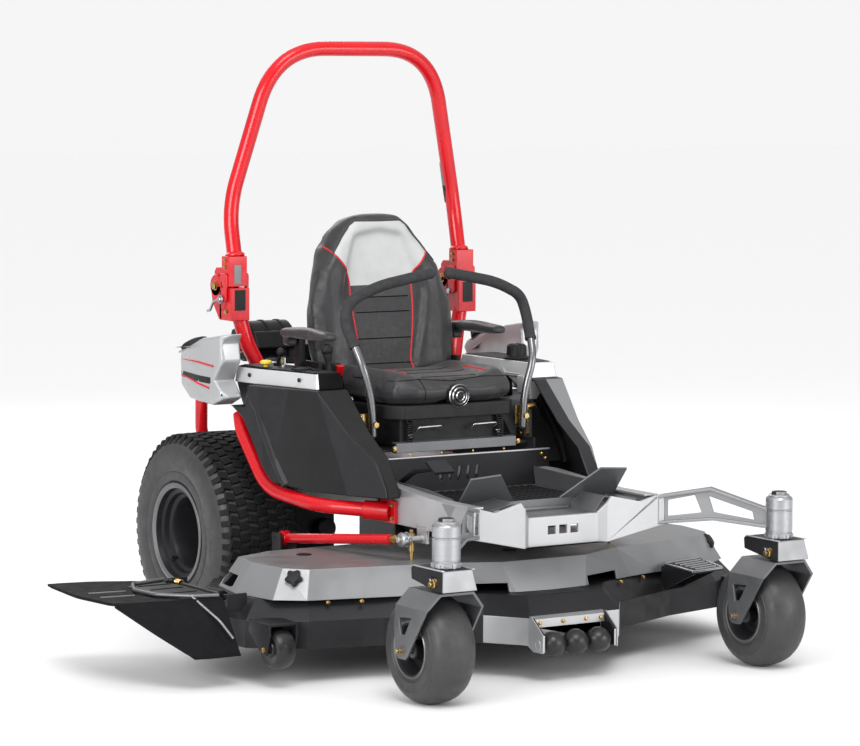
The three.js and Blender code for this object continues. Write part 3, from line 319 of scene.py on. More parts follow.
class Shape:
    """Gathers forms in one mesh. Every length and place is in the machine's millimetres."""

    def __init__(self):
        self.bm = bmesh.new()

    def loft(self, rings, loop=False):
        """Quads between rings of points, with end caps unless the rings close on themselves."""
        made = [[self.bm.verts.new(at(*p)) for p in ring] for ring in rings]
        pairs = list(zip(made, made[1:]))
        if loop:
            pairs.append((made[-1], made[0]))
        for first, second in pairs:
            for i in range(len(first)):
                j = (i + 1) % len(first)
                self.bm.faces.new((first[i], first[j], second[j], second[i]))
        if not loop:
            self.bm.faces.new(made[0][::-1])
            self.bm.faces.new(made[-1])
        return self

    def turned(self, profile, base, axis, sides=48):
        """profile is (radius, distance along the axis); it closes if it ends where it began."""
        axis = Vector(axis).normalized()
        across = axis.orthogonal().normalized()
        up = axis.cross(across)
        loop = profile[0] == profile[-1]
        angles = [2 * math.pi * i / sides for i in range(sides)]
        rings = [
            [
                Vector(base) + axis * along
                + (across * math.cos(a) + up * math.sin(a)) * max(radius, 0.01)
                for a in angles
            ]
            for radius, along in (profile[:-1] if loop else profile)
        ]
        return self.loft(rings, loop)

    def ridged(self, profile, base, across, up, steps, reach):
        """A turned form about across x up; profile is (height, radius).

        reach(radius, height, step, angle) is the radius at one step of the way around.
        """
        base, across, up = Vector(base), Vector(across), Vector(up)
        out = across.cross(up)
        angles = [2 * math.pi * step / steps for step in range(steps)]
        return self.loft([
            [
                base + out * height
                + (across * math.cos(a) + up * math.sin(a)) * reach(radius, height, step, a)
                for step, a in enumerate(angles)
            ]
            for height, radius in profile
        ])

    def rod(self, start, end, radius, sides=20, end_radius=None, edge=1.0):
        start, end = Vector(start), Vector(end)
        length = (end - start).length
        far = radius if end_radius is None else end_radius
        edge = min(edge, radius / 3, length / 3)
        profile = [(0, 0), (radius - edge, 0), (radius, edge), (far, length - edge),
                   (far - edge, length), (0, length)]
        return self.turned(profile, start, end - start, sides)

    def tube(self, points, radius, bend=60, sides=20, steps=8, radii=None):
        path = rounded_path(points, bend, steps)
        ways = [(b - a).normalized() for a, b in zip(path, path[1:])]
        ways.append(ways[-1])
        side = ways[0].orthogonal().normalized()
        rings = []
        for i, (point, way) in enumerate(zip(path, ways)):
            mean = (ways[max(0, i - 1)] + way).normalized()
            side = (side - mean * side.dot(mean)).normalized()
            up = mean.cross(side)
            size = radius if radii is None else radii(i / (len(path) - 1))
            rings.append([
                point + (side * math.cos(a) + up * math.sin(a)) * size
                for a in (2 * math.pi * k / sides for k in range(sides))
            ])
        return self.loft(rings)

    def prism(self, axis, outline, start, end, far=None):
        """outline lies in the plane across the axis: (y, z), (x, z) or (x, y)."""
        place = {
            "x": lambda p, d: (d, p[0], p[1]),
            "y": lambda p, d: (p[0], d, p[1]),
            "z": lambda p, d: (p[0], p[1], d),
        }[axis]
        return self.loft([[place(p, start) for p in outline],
                          [place(p, end) for p in (far or outline)]])

    def box(self, x0, x1, y0, y1, z0, z1):
        return self.prism("z", [(x0, y0), (x1, y0), (x1, y1), (x0, y1)], z0, z1)

    def slab(self, centre, size, turn=Matrix.Identity(3)):
        """A block of a given size about its centre, turned by a rotation matrix."""
        half = [s / 2 for s in size]
        rings = [
            [
                Vector(centre) + turn @ Vector((sx * half[0], sy * half[1], sz * half[2]))
                for sx, sy in ((-1, -1), (1, -1), (1, 1), (-1, 1))
            ]
            for sz in (-1, 1)
        ]
        return self.loft(rings)

    def bolt(self, place, axis, size=8, washer=True):
        """A hex head with a chamfered crown, standing on a washer; size is the thread."""
        axis = Vector(axis).normalized()
        base = Vector(place)
        start = 0
        if washer:
            start, rim = 1.8, size * 1.15
            self.turned([(0, 0), (rim, 0), (rim, start), (0, start)], base, axis, 20)
        wide, high = size * 0.95, size * 0.65
        self.turned([(0, start), (wide, start), (wide, start + high * 0.75),
                     (wide * 0.8, start + high), (0, start + high)], base, axis, 6)
        return self

    def ball(self, centre, radius, sides=20):
        profile = [
            (radius * math.sin(math.pi * i / 10), -radius * math.cos(math.pi * i / 10))
            for i in range(11)
        ]
        return self.turned(profile, centre, (0, 0, 1), sides)

    def piece(self, name, material, body, slot, replaces=(), bevel=0.0, segments=2, smooth=38):
        bmesh.ops.remove_doubles(self.bm, verts=self.bm.verts, dist=1e-5)
        bmesh.ops.recalc_face_normals(self.bm, faces=self.bm.faces)
        return finish_piece(name, as_mesh(self.bm, name), material, body, replaces, bevel,
                            segments, smooth)


def finish_piece(name, mesh, material, body, replaces=(), bevel=0.0, segments=2,
                 smooth=38):
    """Shades, softens the edges of, and hangs a mesh on its body."""
    obj = bpy.data.objects.new(name, mesh)
    bpy.context.collection.objects.link(obj)
    mesh.materials.clear()
    mesh.materials.append(material)
    mesh.shade_smooth()
    if bevel:
        rounding = obj.modifiers.new("edges", "BEVEL")
        rounding.width = bevel * MM
        rounding.segments = segments
        rounding.limit_method = "ANGLE"
        rounding.angle_limit = math.radians(smooth)
        rounding.use_clamp_overlap = False
        weighted = obj.modifiers.new("flat faces", "WEIGHTED_NORMAL")
        weighted.weight = 100
        weighted.keep_sharp = True
    else:
        mesh.set_sharp_from_angle(angle=math.radians(smooth))
    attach(obj, body)
    if replaces:
        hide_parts(*replaces)
    return obj


def merged_form(node):
    """A copy of a CAD node's form with its flat faces merged."""
    bm = bmesh.new()
    bm.from_mesh(frame["nodes"][node].data)
    bmesh.ops.remove_doubles(bm, verts=bm.verts, dist=WELD)
    bmesh.ops.dissolve_limit(bm, angle_limit=FLAT, verts=bm.verts, edges=bm.edges)
    return bm


def as_mesh(bm, name):
    mesh = bpy.data.meshes.new(name)
    bm.to_mesh(mesh)
    bm.free()
    return mesh


def refined(node, material, bevel=1.5, segments=2, smooth=32):
    """The CAD node's form with its faces merged and its edges rounded, in place of it."""
    return finish_piece(node + "_skin", as_mesh(merged_form(node), node), material,
                        BODY_OF[node], (node,), bevel, segments, smooth)


def paint_node(node, material):
    """A CAD node that stays as it is gets its material."""
    mesh = frame["nodes"][node].data
    mesh.materials.clear()
    mesh.materials.append(material)


make_camera()
make_studio()
M = make_materials()
LOOK = {
    "silver_paint": "silver", "silver_plastic": "silver_mould", "red_paint": "red",
    "dark_steel": "dark", "grey_steel": "grey", "black_plastic": "black",
    "tyre_rubber": "tyre", "black_rubber": "rubber", "seat_vinyl": "vinyl",
    "bright_steel": "steel", "zinc_gold": "zinc", "yellow_plastic": "yellow",
    "cast_alloy": "cast",
}
for node in frame["nodes"]:
    paint_node(node, M[LOOK[SLOT_OF[node]]])


# ---- Roll bar ------------------------------------------------------------------------------

HOOP_X = 447
HINGE_Y, HINGE_Z = 726, 1140
PIN_Y, PIN_Z = 668, 1098
HOOP_TOP = (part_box("rops_hoop")[1].z) / MM - 25


def roll_bar():
    half = [(-440, 664, 1215), (-441, 706, 1400), (-304, 634, HOOP_TOP)]
    twin = [(-x, y, z) for x, y, z in reversed(half)]
    hoop = Shape().tube(half + twin, 25, 190, 28, 18)
    for _, side in SIDES:
        inner, outer = span(side, HOOP_X - 36, HOOP_X + 34)
        hoop.box(inner, outer, 636, 684, HINGE_Z, 1240)
        low, high = span(side, HOOP_X - 27, HOOP_X + 25)
        hoop.prism("x", [(680, HINGE_Z - 10), (750, HINGE_Z - 10), (750, 1186), (738, 1200),
                         (680, 1200)], low, high)
        hoop.rod((low, HINGE_Y, HINGE_Z), (high, HINGE_Y, HINGE_Z), 28, 32)
        for x in (HOOP_X + 35, HOOP_X - 45):
            first, last = span(side, x, x + 8)
            hoop.prism("x", [(640, 1096), (660, 1090), (660, 1150), (682, 1158), (682, 1176),
                             (672, 1184), (646, 1184), (640, 1176)], first, last)
        hoop.turned([(25, -3), (33, -3), (33, 5), (25, 12)], (side * 440, 667, 1240),
                    (0, 0.2, 1), 28)
    hoop.piece("hoop", M["red"], "rops_hoop", "red_paint", ("rops_hoop",), bevel=2.0)
    sleeve = Shape()
    sleeve.tube([(423, 701, 1465), (406, 693, 1540)], 25.5, 10, 28)
    sleeve.piece("hoop_sleeve_light", M["grey"], "rops_hoop", "red_paint")
    sleeve = Shape().tube([(436, 705, 1405), (423.5, 701.2, 1463)], 25.7, 10, 28)
    sleeve.piece("hoop_sleeve_dark", M["black"], "rops_hoop", "red_paint")
    bolts = Shape()
    for _, side in SIDES:
        for z in (1205, 1226):
            bolts.bolt((side * (HOOP_X + 34), 660, z), (side, 0, 0), 7)
            bolts.bolt((side * (HOOP_X - 36), 660, z), (-side, 0, 0), 7)
    bolts.piece("hoop_bolts", M["zinc"], "rops_hoop", "zinc_gold")
    plate = Shape().box(-HOOP_X - 13, -HOOP_X + 13, 634.6, 636, 1148, 1212)
    plate.piece("hoop_plate", M["grey"], "rops_hoop", "black_plastic", bevel=0.4)


def roll_bar_base():
    base = Shape()
    guard = [(-412, 636, 950), (-440, 790, 905), (-432, 915, 800), (-428, 925, 594)]
    base.tube(guard + [(-x, y, z) for x, y, z in reversed(guard)], 21, 60, 24, 10)
    nuts = Shape()
    for _, side in SIDES:
        leg = [(-322, 560, 566), (-322, 560, 705), (-386, 608, 881), (-412, 636, 950),
               (-441, 652, 1066)]
        base.tube([(-side * x, y, z) for x, y, z in leg], 25, 70, 24, 10)
        for y0, y1, top in ((516, 606, 576), (850, 900, 580)):
            first, last = span(side, 300, 346)
            base.box(first, last, y0, y1, 563.4, top)
        first, last = span(side, 312, 332)
        base.prism("x", [(852, 564), (900, 564), (934, 588), (916, 606), (852, 580)], first, last)
        first, last = span(side, HOOP_X - 36, HOOP_X + 34)
        base.box(first, last, 620, 700, 1028, HINGE_Z - 4)
        for x in (HOOP_X + 26, HOOP_X - 36):
            first, last = span(side, x, x + 8)
            base.prism("x", [(684, 1030), (704, 1030), (748, 1084), (762, HINGE_Z),
                             (690, HINGE_Z)], first, last)
            base.rod((first, HINGE_Y, HINGE_Z), (last, HINGE_Y, HINGE_Z), 36, 32)
        nuts.bolt((side * (HOOP_X + 34), HINGE_Y, HINGE_Z), (side, 0, 0), 14)
        nuts.bolt((side * (HOOP_X - 36), HINGE_Y, HINGE_Z), (-side, 0, 0), 14)
        nuts.bolt((side * (HOOP_X + 34), 652, 1058), (side, 0, 0), 8)
        for y in (530, 592, 862, 888):
            nuts.bolt((side * 334, y, 576 if y < 700 else 580), (0, 0, 1), 8)
    base.piece("roll_bar_base", M["red"], "chassis", "red_paint", ("rops_base",), bevel=2.0)
    nuts.piece("roll_bar_nuts", M["zinc"], "chassis", "zinc_gold")
    for name, side in SIDES:
        plate = Shape().box(*span(side, HOOP_X - 20, HOOP_X + 20), 618.6, 620,
                            1062, 1130)
        plate.piece(f"socket_plate_{name}", M["black"], "chassis", "black_plastic", bevel=0.5)
        pin = Shape()
        x = side * HOOP_X
        pin.rod((x + side * 56, PIN_Y, PIN_Z), (x - side * 50, PIN_Y, PIN_Z), 10, 28)
        pin.rod((x + side * 46, PIN_Y, PIN_Z), (x + side * 50, PIN_Y, PIN_Z), 15, 28)
        pin.tube([(x + side * 53, PIN_Y, PIN_Z), (x + side * 62, 690, 1090),
                  (x + side * 60, 716, 1060), (x + side * 60, 732, 1056)], 4.5, 20, 14)
        pin.turned([(3, 0), (8, 0), (8, 3), (3, 3), (3, 0)], (x - side * 46, PIN_Y, PIN_Z),
                   (side, 0, 0), 18)
        pin.piece(f"lock_pin_{name}", M["steel"], f"rops_pin_{name}", "bright_steel",
                  (f"rops_pin_{name}",))


# ---- Wheels --------------------------------------------------------------------------------


def rear_tyre(name, side):
    """A turf tyre: rounded carcass, sidewall ribs, and seven staggered rows of blocks."""
    hub = (side * TYRE_OUTER_X, REAR_AXLE_Y, TYRE_R)
    inward = (-side, 0, 0)
    crown = TYRE_R - 9
    half = [(168, 14), (176, 5), (188, 2), (204, 3.5), (206, 5.5), (210, 3.5), (236, 1),
            (262, 1.5), (280, 5), (296, 12), (308, 22), (crown - 5, 36), (crown - 1, 56),
            (crown, 84), (crown, 118)]
    profile = half + [(r, TYRE_W - along) for r, along in reversed(half)]
    carcass = Shape().turned(profile + [profile[0]], hub, inward, 120)
    carcass.piece(f"tyre_{name}", M["tyre"], f"rear_wheel_{name}", "tyre_rubber",
                  (f"rear_tyre_{name}",), smooth=30)
    tread = Shape()
    rows = 7
    around = 52
    width = (TYRE_W - 58) / rows
    long = 2 * math.pi * TYRE_R / around * 0.66

    def block(step, along, sunk, size, lean):
        turn = Matrix.Rotation(2 * math.pi * step / around, 3, "X")
        up = turn @ Vector((0, 0, 1))
        centre = Vector(hub) + Vector(inward) * along + up * (TYRE_R - sunk)
        tread.slab(centre, size, turn @ lean)

    for row in range(rows):
        lean = Matrix.Rotation(math.radians(13 if row % 2 else -13), 3, "Z")
        drop = 2.2 * ((row - rows // 2) / 4) ** 2
        for k in range(around):
            block(k + (row % 2) / 2, 29 + width * (row + 0.5), 7 + drop,
                  (width * 0.92, long, 13), lean)
    for k in range(around):
        for along, tilt in ((24, 0.95), (TYRE_W - 24, -0.95)):
            block(k + 0.25, along, 20, (34, 19, 9), Matrix.Rotation(tilt * side, 3, "Y"))
    # The tread blocks take the darker copy of the rubber: painted shade.
    tread.piece(f"tread_{name}", M["tread"], f"rear_wheel_{name}", "tyre_rubber", bevel=1.5)


BOLT_CIRCLE_R = 76.95


def rear_rim(name, side):
    hub = Vector((side * TYRE_OUTER_X, REAR_AXLE_Y, TYRE_R))
    inward = (-side, 0, 0)
    profile = [(0, 168), (34, 168), (38, 160), (56, 158), (62, 166), (96, 164), (106, 150),
               (112, 64), (118, 52), (130, 46), (134, 30), (146, 25), (150, 9), (158, 3),
               (168, 4), (172, 9), (166, 15), (165, 280), (152, 286), (142, 210), (60, 184),
               (0, 184)]
    rim = Shape().turned(profile, hub, inward, 96)
    rim.piece(f"rim_{name}", M["dark"], f"rear_wheel_{name}", "dark_steel",
              (f"rear_rim_{name}",), smooth=30)
    edge = Shape().turned([(150, 7.5), (158, 1.6), (167, 2.6), (170, 7), (166, 9), (150, 7.5)],
                          hub, inward, 96)
    edge.piece(f"rim_edge_{name}", M["grey"], f"rear_wheel_{name}", "dark_steel")
    details = Shape()
    face = hub + Vector((-side * 160, 0, 0))
    for k in range(5):
        angle = 2 * math.pi * k / 5
        place = Vector((0, BOLT_CIRCLE_R * math.cos(angle), BOLT_CIRCLE_R * math.sin(angle)))
        details.bolt(face + place, (side, 0, 0), 10)
    details.turned([(0, 0), (24, 0), (24, 16), (20, 22), (0, 22)], face, (side, 0, 0), 32)
    details.rod(hub + Vector((-side * 48, 78, -92)), hub + Vector((-side * 22, 74, -88)), 5, 14)
    details.piece(f"rim_fasteners_{name}", M["dark"], f"rear_wheel_{name}", "bright_steel")


CASTER_X, PIVOT_Y, CASTER_R, CASTER_W = 612, -900, 165, 165
CASTER_Y = PIVOT_Y + 85


def caster(name, side):
    centre = Vector((side * CASTER_X, CASTER_Y, CASTER_R))
    start = centre - Vector((CASTER_W / 2, 0, 0))
    half = [(78, 20), (84, 12), (92, 9), (95, 11), (98, 8), (120, 8), (123, 10), (126, 9.5),
            (138, 14), (149, 23), (157, 36), (162, 52), (CASTER_R, 74)]
    profile = half + [(r, CASTER_W - along) for r, along in reversed(half)]
    tyre = Shape().turned(profile + [profile[0]], start, (1, 0, 0), 96)
    body = f"caster_wheel_{name}"
    tyre.piece(f"caster_tyre_{name}", M["tyre"], body, "tyre_rubber", (body,), smooth=30)
    half = [(13, 22), (28, 22), (30, 48), (40, 54), (58, 52), (64, 40), (70, 22), (74, 14),
            (84, 10), (86, 14), (78, 21)]
    profile = half + [(r, CASTER_W - along) for r, along in reversed(half)]
    rim = Shape().turned(profile + [profile[0]], start, (1, 0, 0), 64)
    rim.piece(f"caster_rim_{name}", M["dark"], body, "dark_steel", smooth=30)
    trim = Shape()
    for end in (8.6, CASTER_W - 8.6):
        way = 1 if end < 50 else -1
        trim.turned([(79, 2 * way), (85, 0), (87, 2 * way), (79, 2 * way)],
                    start + Vector((end, 0, 0)), (1, 0, 0), 64)
        trim.turned([(13, 0), (24, 0), (24, -way * 3), (13, -way * 3), (13, 0)],
                    start + Vector((22 if way > 0 else CASTER_W - 22, 0, 0)), (1, 0, 0), 32)
    trim.piece(f"caster_trim_{name}", M["grey"], body, "dark_steel")
    refined(f"caster_fork_{name}", M["grey"], 1.6)
    # The block is silver: its sides and top take the dark grey as painted shade, and its front
    # faces take the darker silver copy.
    block = refined(f"caster_block_{name}", M["dark"], 3.0)
    split_material(block, M["silver_deck"], lambda p, n: n.y < -0.6)
    gold = Shape()
    for way in (-1, 1):
        gold.bolt(centre + Vector((way * 100, 0, 0)), (way, 0, 0), 11)
        gold.rod(centre + Vector((way * 112, 0, 0)), centre + Vector((way * 119, 0, 0)), 7, 16)
    gold.piece(f"axle_nuts_{name}", M["zinc"], f"caster_fork_{name}", "zinc_gold")
    gold = Shape()
    for way in (-1, 1):
        gold.bolt((side * CASTER_X + way * 54, -926, 372), (way, 0, 0), 15)
        gold.rod((side * CASTER_X + way * 66, -926, 372), (side * CASTER_X + way * 76, -926, 372),
                 8, 16)
    gold.piece(f"block_bolts_{name}", M["zinc"], f"caster_swivel_{name}", "zinc_gold")
    edge = Shape()
    for way in (-1, 1):
        edge.slab((side * CASTER_X + way * 52, -886, 412.5), (10, 160, 3))
    edge.piece(f"block_lips_{name}", M["silver"], f"caster_swivel_{name}", "grey_steel", bevel=1)
    tube = Shape()
    base = (side * CASTER_X, PIVOT_Y, 0)
    profile = [(22, 414.6), (42, 414.6), (42, 428), (40, 429), (40, 435), (42, 436), (42, 498),
               (40, 499), (40, 504), (42, 505), (42, 534), (39, 540), (33, 541), (22, 541)]
    tube.turned(profile + [profile[0]], base, (0, 0, 1), 64)
    tube.piece(f"hub_tube_{name}", M["alloy"], "chassis", "silver_paint", smooth=12)
    crown = Shape()
    for k in range(12):
        angle = 2 * math.pi * k / 12
        crown.slab(Vector(base) + Vector((41 * math.cos(angle), 41 * math.sin(angle), 420)),
                   (8, 9, 13), Matrix.Rotation(angle, 3, "Z"))
    crown.piece(f"hub_crown_{name}", M["alloy"], "chassis", "silver_paint", bevel=0.8)
    cap = Shape().turned([(0, 540), (33, 540), (33, 546), (30, 549), (10, 549), (8, 552), (0, 552)],
                         base, (0, 0, 1), 48)
    cap.piece(f"kingpin_cap_{name}", M["alloy"], f"caster_swivel_{name}", "bright_steel")


# ---- Body work -----------------------------------------------------------------------------


def where(point):
    """The inverse of at()."""
    return Vector(((point.x - CENTRE_X) / MM, (point.y - SEAT_FRONT_Y) / MM, point.z / MM))


def draped(obj, points, way, lift=0.0):
    """Points in mm moved along a direction onto an object's surface, then lifted off it."""
    tree = BVHTree.FromObject(obj, bpy.context.evaluated_depsgraph_get())
    way = Vector(way).normalized()
    path = []
    for point in points:
        hit = tree.ray_cast(at(*point), way)[0]
        if hit is not None:
            path.append(where(hit) - way * lift)
    return path


def between(points, steps=12):
    """A finer polyline through the same points."""
    path = []
    for first, second in zip(points, points[1:]):
        first, second = Vector(first), Vector(second)
        path += [first.lerp(second, i / steps) for i in range(steps)]
    return path + [Vector(points[-1])]


def split_material(obj, material, chosen):
    """Gives a second material to the faces whose centre, in mm, is chosen."""
    mesh = obj.data
    mesh.materials.append(material)
    index = len(mesh.materials) - 1
    for face in mesh.polygons:
        if chosen(where(face.center), face.normal):
            face.material_index = index


def sliced(node, cuts):
    """Cuts a CAD copy's faces along planes, so that a colour can change there."""
    bm = merged_form(node)
    for place, normal in cuts:
        geometry = bm.verts[:] + bm.edges[:] + bm.faces[:]
        bmesh.ops.bisect_plane(bm, geom=geometry, plane_co=at(*place), plane_no=normal)
    return as_mesh(bm, node)


POD_CREASE = [(500, 832), (430, 826), (370, 806), (318, 762), (262, 690), (196, 606), (150, 540)]


def pods():
    for name, side in SIDES:
        mesh = sliced(f"pod_{name}", [((side * 404, 0, 0), (1, 0, 0))])
        skin = finish_piece(f"pod_skin_{name}", mesh, M["pod"], "chassis",
                            (f"pod_{name}",), 5.0, 3, 32)
        crease = draped(skin, between([(side * 700, y, z) for y, z in POD_CREASE], 6),
                        (-side, 0, 0), -14)
        if len(crease) > 3:
            Shape().tube(crease, 18, 30, 20, 2).piece(
                f"pod_crease_{name}", M["pod"], "chassis", "black_plastic")
        if side > 0:
            # The left pod's forward faces are a real silver band, in the darker silver copy: partly
            # its own silver and partly painted shade.
            split_material(skin, M["silver_deck"],
                           lambda p, n: p.x > 404 and n.y < -0.3 and n.z > 0.05)
        else:
            # The right pod's forward faces take a blacker black: painted shade on the pod's own
            # black.
            split_material(skin, M["black"], lambda p, n: n.y < -0.3 and n.z > 0.05)
        collar = Shape().prism("x", [(410, 866), (540, 866), (556, 836), (520, 770), (478, 716),
                                     (440, 690), (410, 700)], *span(side, 384, 500))
        collar.piece(f"pod_collar_{name}", M["pod"], "chassis", "black_plastic", bevel=12,
                     segments=4)
        screws = Shape()
        for y, z in ((30, 560), (110, 620), (180, 700), (240, 780)):
            screws.bolt((side * 357, y, z), (-side, 0, 0), 4, washer=False)
        screws.piece(f"pod_screws_{name}", M["zinc"], "chassis", "zinc_gold")


def consoles():
    for name, side in SIDES:
        mesh = sliced(f"console_{name}", [((side * 452, 0, 0), (1, 0, 0))])
        skin = finish_piece(f"console_skin_{name}", mesh, M["silver_side"], "chassis",
                            (f"console_{name}",), 4.0, 3, 32)
        # On the right console, the inboard part and the upward faces take the near-black shade
        # material: painted shade.
        if side < 0:
            split_material(skin, M["shadow"], lambda p, n: p.x > -452 or n.z > 0.7)
        pad = Shape().prism("z", [(side * 372, 122), (side * 448, 120), (side * 470, 234),
                                  (side * 496, 372), (side * 492, 520), (side * 372, 520)],
                            890, 894.5)
        pad.piece(f"console_pad_{name}", M["black"], "chassis", "black_plastic", bevel=1.5)
        studs = Shape()
        for y in (180, 420):
            x = 478 if y < 200 else 524
            studs.turned([(0, 0), (7, 0), (7, 2), (4, 5), (0, 5)], (side * x, y, 868),
                         (side, -0.1, 0), 20)
        studs.piece(f"console_studs_{name}", M["black"], "chassis", "black_plastic")
    gauge = Shape()
    gauge.turned([(0, 0), (34, 0), (34, 5), (31, 7), (29, 4), (0, 4)], (-428, 250, 894), (0, 0, 1),
                 40)
    gauge.box(-470, -440, 200, 224, 894, 903)
    gauge.box(-425, -395, 180, 196, 894, 900)
    gauge.piece("console_gauge", M["black"], "chassis", "black_plastic", bevel=0.8)
    dial = Shape()
    dial.turned([(0, 0), (24, 0), (24, 1), (0, 1)], (404, 252, 898.5), (0, 0, 1), 40)
    for k in range(11):
        angle = math.radians(-140 + 28 * k)
        dial.slab((404 + 38 * math.sin(angle), 252 + 38 * math.cos(angle), 899), (2.4, 7, 1.2),
                  Matrix.Rotation(-angle, 3, "Z"))
    dial.piece("height_scale", M["grey"], "height_dial", "black_plastic")
    knob = Shape().ridged(
        ((0, 42), (4, 44), (8, 41), (12, 34), (14, 33), (44, 31), (50, 26), (51, 0.01)),
        (404, 252, 893.4), (1, 0, 0), (0, 1, 0), 48,
        lambda radius, height, step, a: radius + (1.6 if height in (14, 44) and step % 2 else 0))
    knob.box(402, 406, 226, 250, 936, 946)
    knob.piece("height_knob", M["black"], "height_dial", "black_plastic", ("height_dial",))
    button = Shape().turned([(0, 0), (8, 0), (8, 8), (13, 10), (19, 12), (20, 15), (19, 20),
                             (14, 23), (0, 23)], (-474, 400, 892.8), (0, 0, 1), 32)
    button.piece("pto_button", M["yellow"], "pto_switch", "yellow_plastic", ("pto_switch",))
    key = Shape().rod((-450, 330, 892.8), (-450, 330, 905), 6, 16)
    key.slab((-450, 330, 916), (5, 24, 24))
    key.piece("key", M["steel"], "ignition_key", "bright_steel", ("ignition_key",), bevel=1)
    throttle = Shape().rod((-420, 420, 899), (-420, 400, 934), 5, 16)
    throttle.rod((-432, 420, 899), (-408, 420, 899), 6, 16).ball((-420, 398, 940), 14)
    throttle.piece("throttle", M["black"], "throttle_lever", "black_plastic",
                   ("throttle_lever",))
    brake = Shape()
    brake.tube([(-312, 150, 800), (-312, 200, 820), (-334, 232, 870), (-337, 238, 920)], 6, 30,
               16)
    brake.rod((-349, 150, 800), (-300, 150, 800), 9, 20)
    brake.piece("brake_arm", M["steel"], "brake_lever", "bright_steel", ("brake_lever",))
    grip = Shape().tube([(-335, 233, 884), (-336, 238, 915), (-338, 243, 950)], 14, 20, 24,
                        radii=lambda t: 8 + 7 * t * t)
    grip.ball((-338, 244, 954), 20, 28)
    grip.piece("brake_grip", M["black"], "brake_lever", "black_plastic")


def fuel_tanks():
    for name, side in SIDES:
        skin = refined(f"fuel_tank_{name}", M["silver_mould"], 9.0, 4, 30)
        top, low = (
            draped(skin, between([(side * OUTSIDE, y, z) for y, z in run], 8), (-side, 0, 0), 0.8)
            for run in ([(700, 868), (470, 858)], [(712, 850), (498, 838)])
        )
        inside = Vector((-side * 3, 0, 0))
        wedge = Shape().loft([[a, b, b + inside, a + inside] for a, b in zip(top, low)])
        wedge.piece(f"tank_wedge_{name}", M["dark"], "chassis", "dark_steel")
        lines = Shape()
        for run in ([(690, 906), (560, 905), (476, 896)], [(716, 858), (600, 842), (500, 824)]):
            path = draped(skin, between([(side * OUTSIDE, y, z) for y, z in run], 8),
                          (-side, 0, 0))
            if len(path) > 3:
                lines.tube(path, 3.2, 20, 10, 1,
                           radii=lambda t: 0.6 + 2.8 * math.sin(math.pi * min(1, t * 1.6) / 2))
        lines.piece(f"tank_lines_{name}", M["piping"], "chassis", "red_paint")
        base = Vector((side * 566, 692, 926))
        out = Vector((side * 0.16, 0.42, 0.89)).normalized()
        across = out.orthogonal().normalized()
        cap = Shape().ridged(
            ((8, 0.01), (8, 43), (10, 47), (14, 48), (30, 48), (35, 45), (38, 40), (38.5, 30),
             (42, 26), (42, 0.01)),
            base, across, out.cross(across), 72,
            lambda radius, height, step, a:
                radius - (2 if 12 < height < 32 and step % 4 < 2 else 0))
        cap.piece(f"cap_{name}", M["black"], f"fuel_cap_{name}", "black_plastic",
                  (f"fuel_cap_{name}",))


def side_rails():
    for name, side in SIDES:
        rail = Shape()
        run = [(536, 462, 738), (548, 430, 690), (548, 262, 516), (500, 40, 484), (384, -120, 478)]
        rail.tube([(side * x, y, z) for x, y, z in run], 23, 70, 28, 12)
        first, last = span(side, 346.4, 358)
        rail.prism("x", [(-205, 442), (-205, 512), (-96, 528), (-96, 442)], first, last)
        rail.rod((side * 400, -98, 479), (side * 350, -172, 476), 30, 32)
        rail.piece(f"rail_{name}", M["red"], "chassis", "red_paint", (f"side_rail_{name}",),
                   bevel=1.5)
        bolts = Shape()
        for y, z in ((-190, 458), (-190, 498), (-112, 458), (-112, 510)):
            bolts.bolt((side * 358, y, z), (side, 0, 0), 7)
        bolts.piece(f"rail_bolts_{name}", M["zinc"], "chassis", "zinc_gold")


# ---- Seat ----------------------------------------------------------------------------------


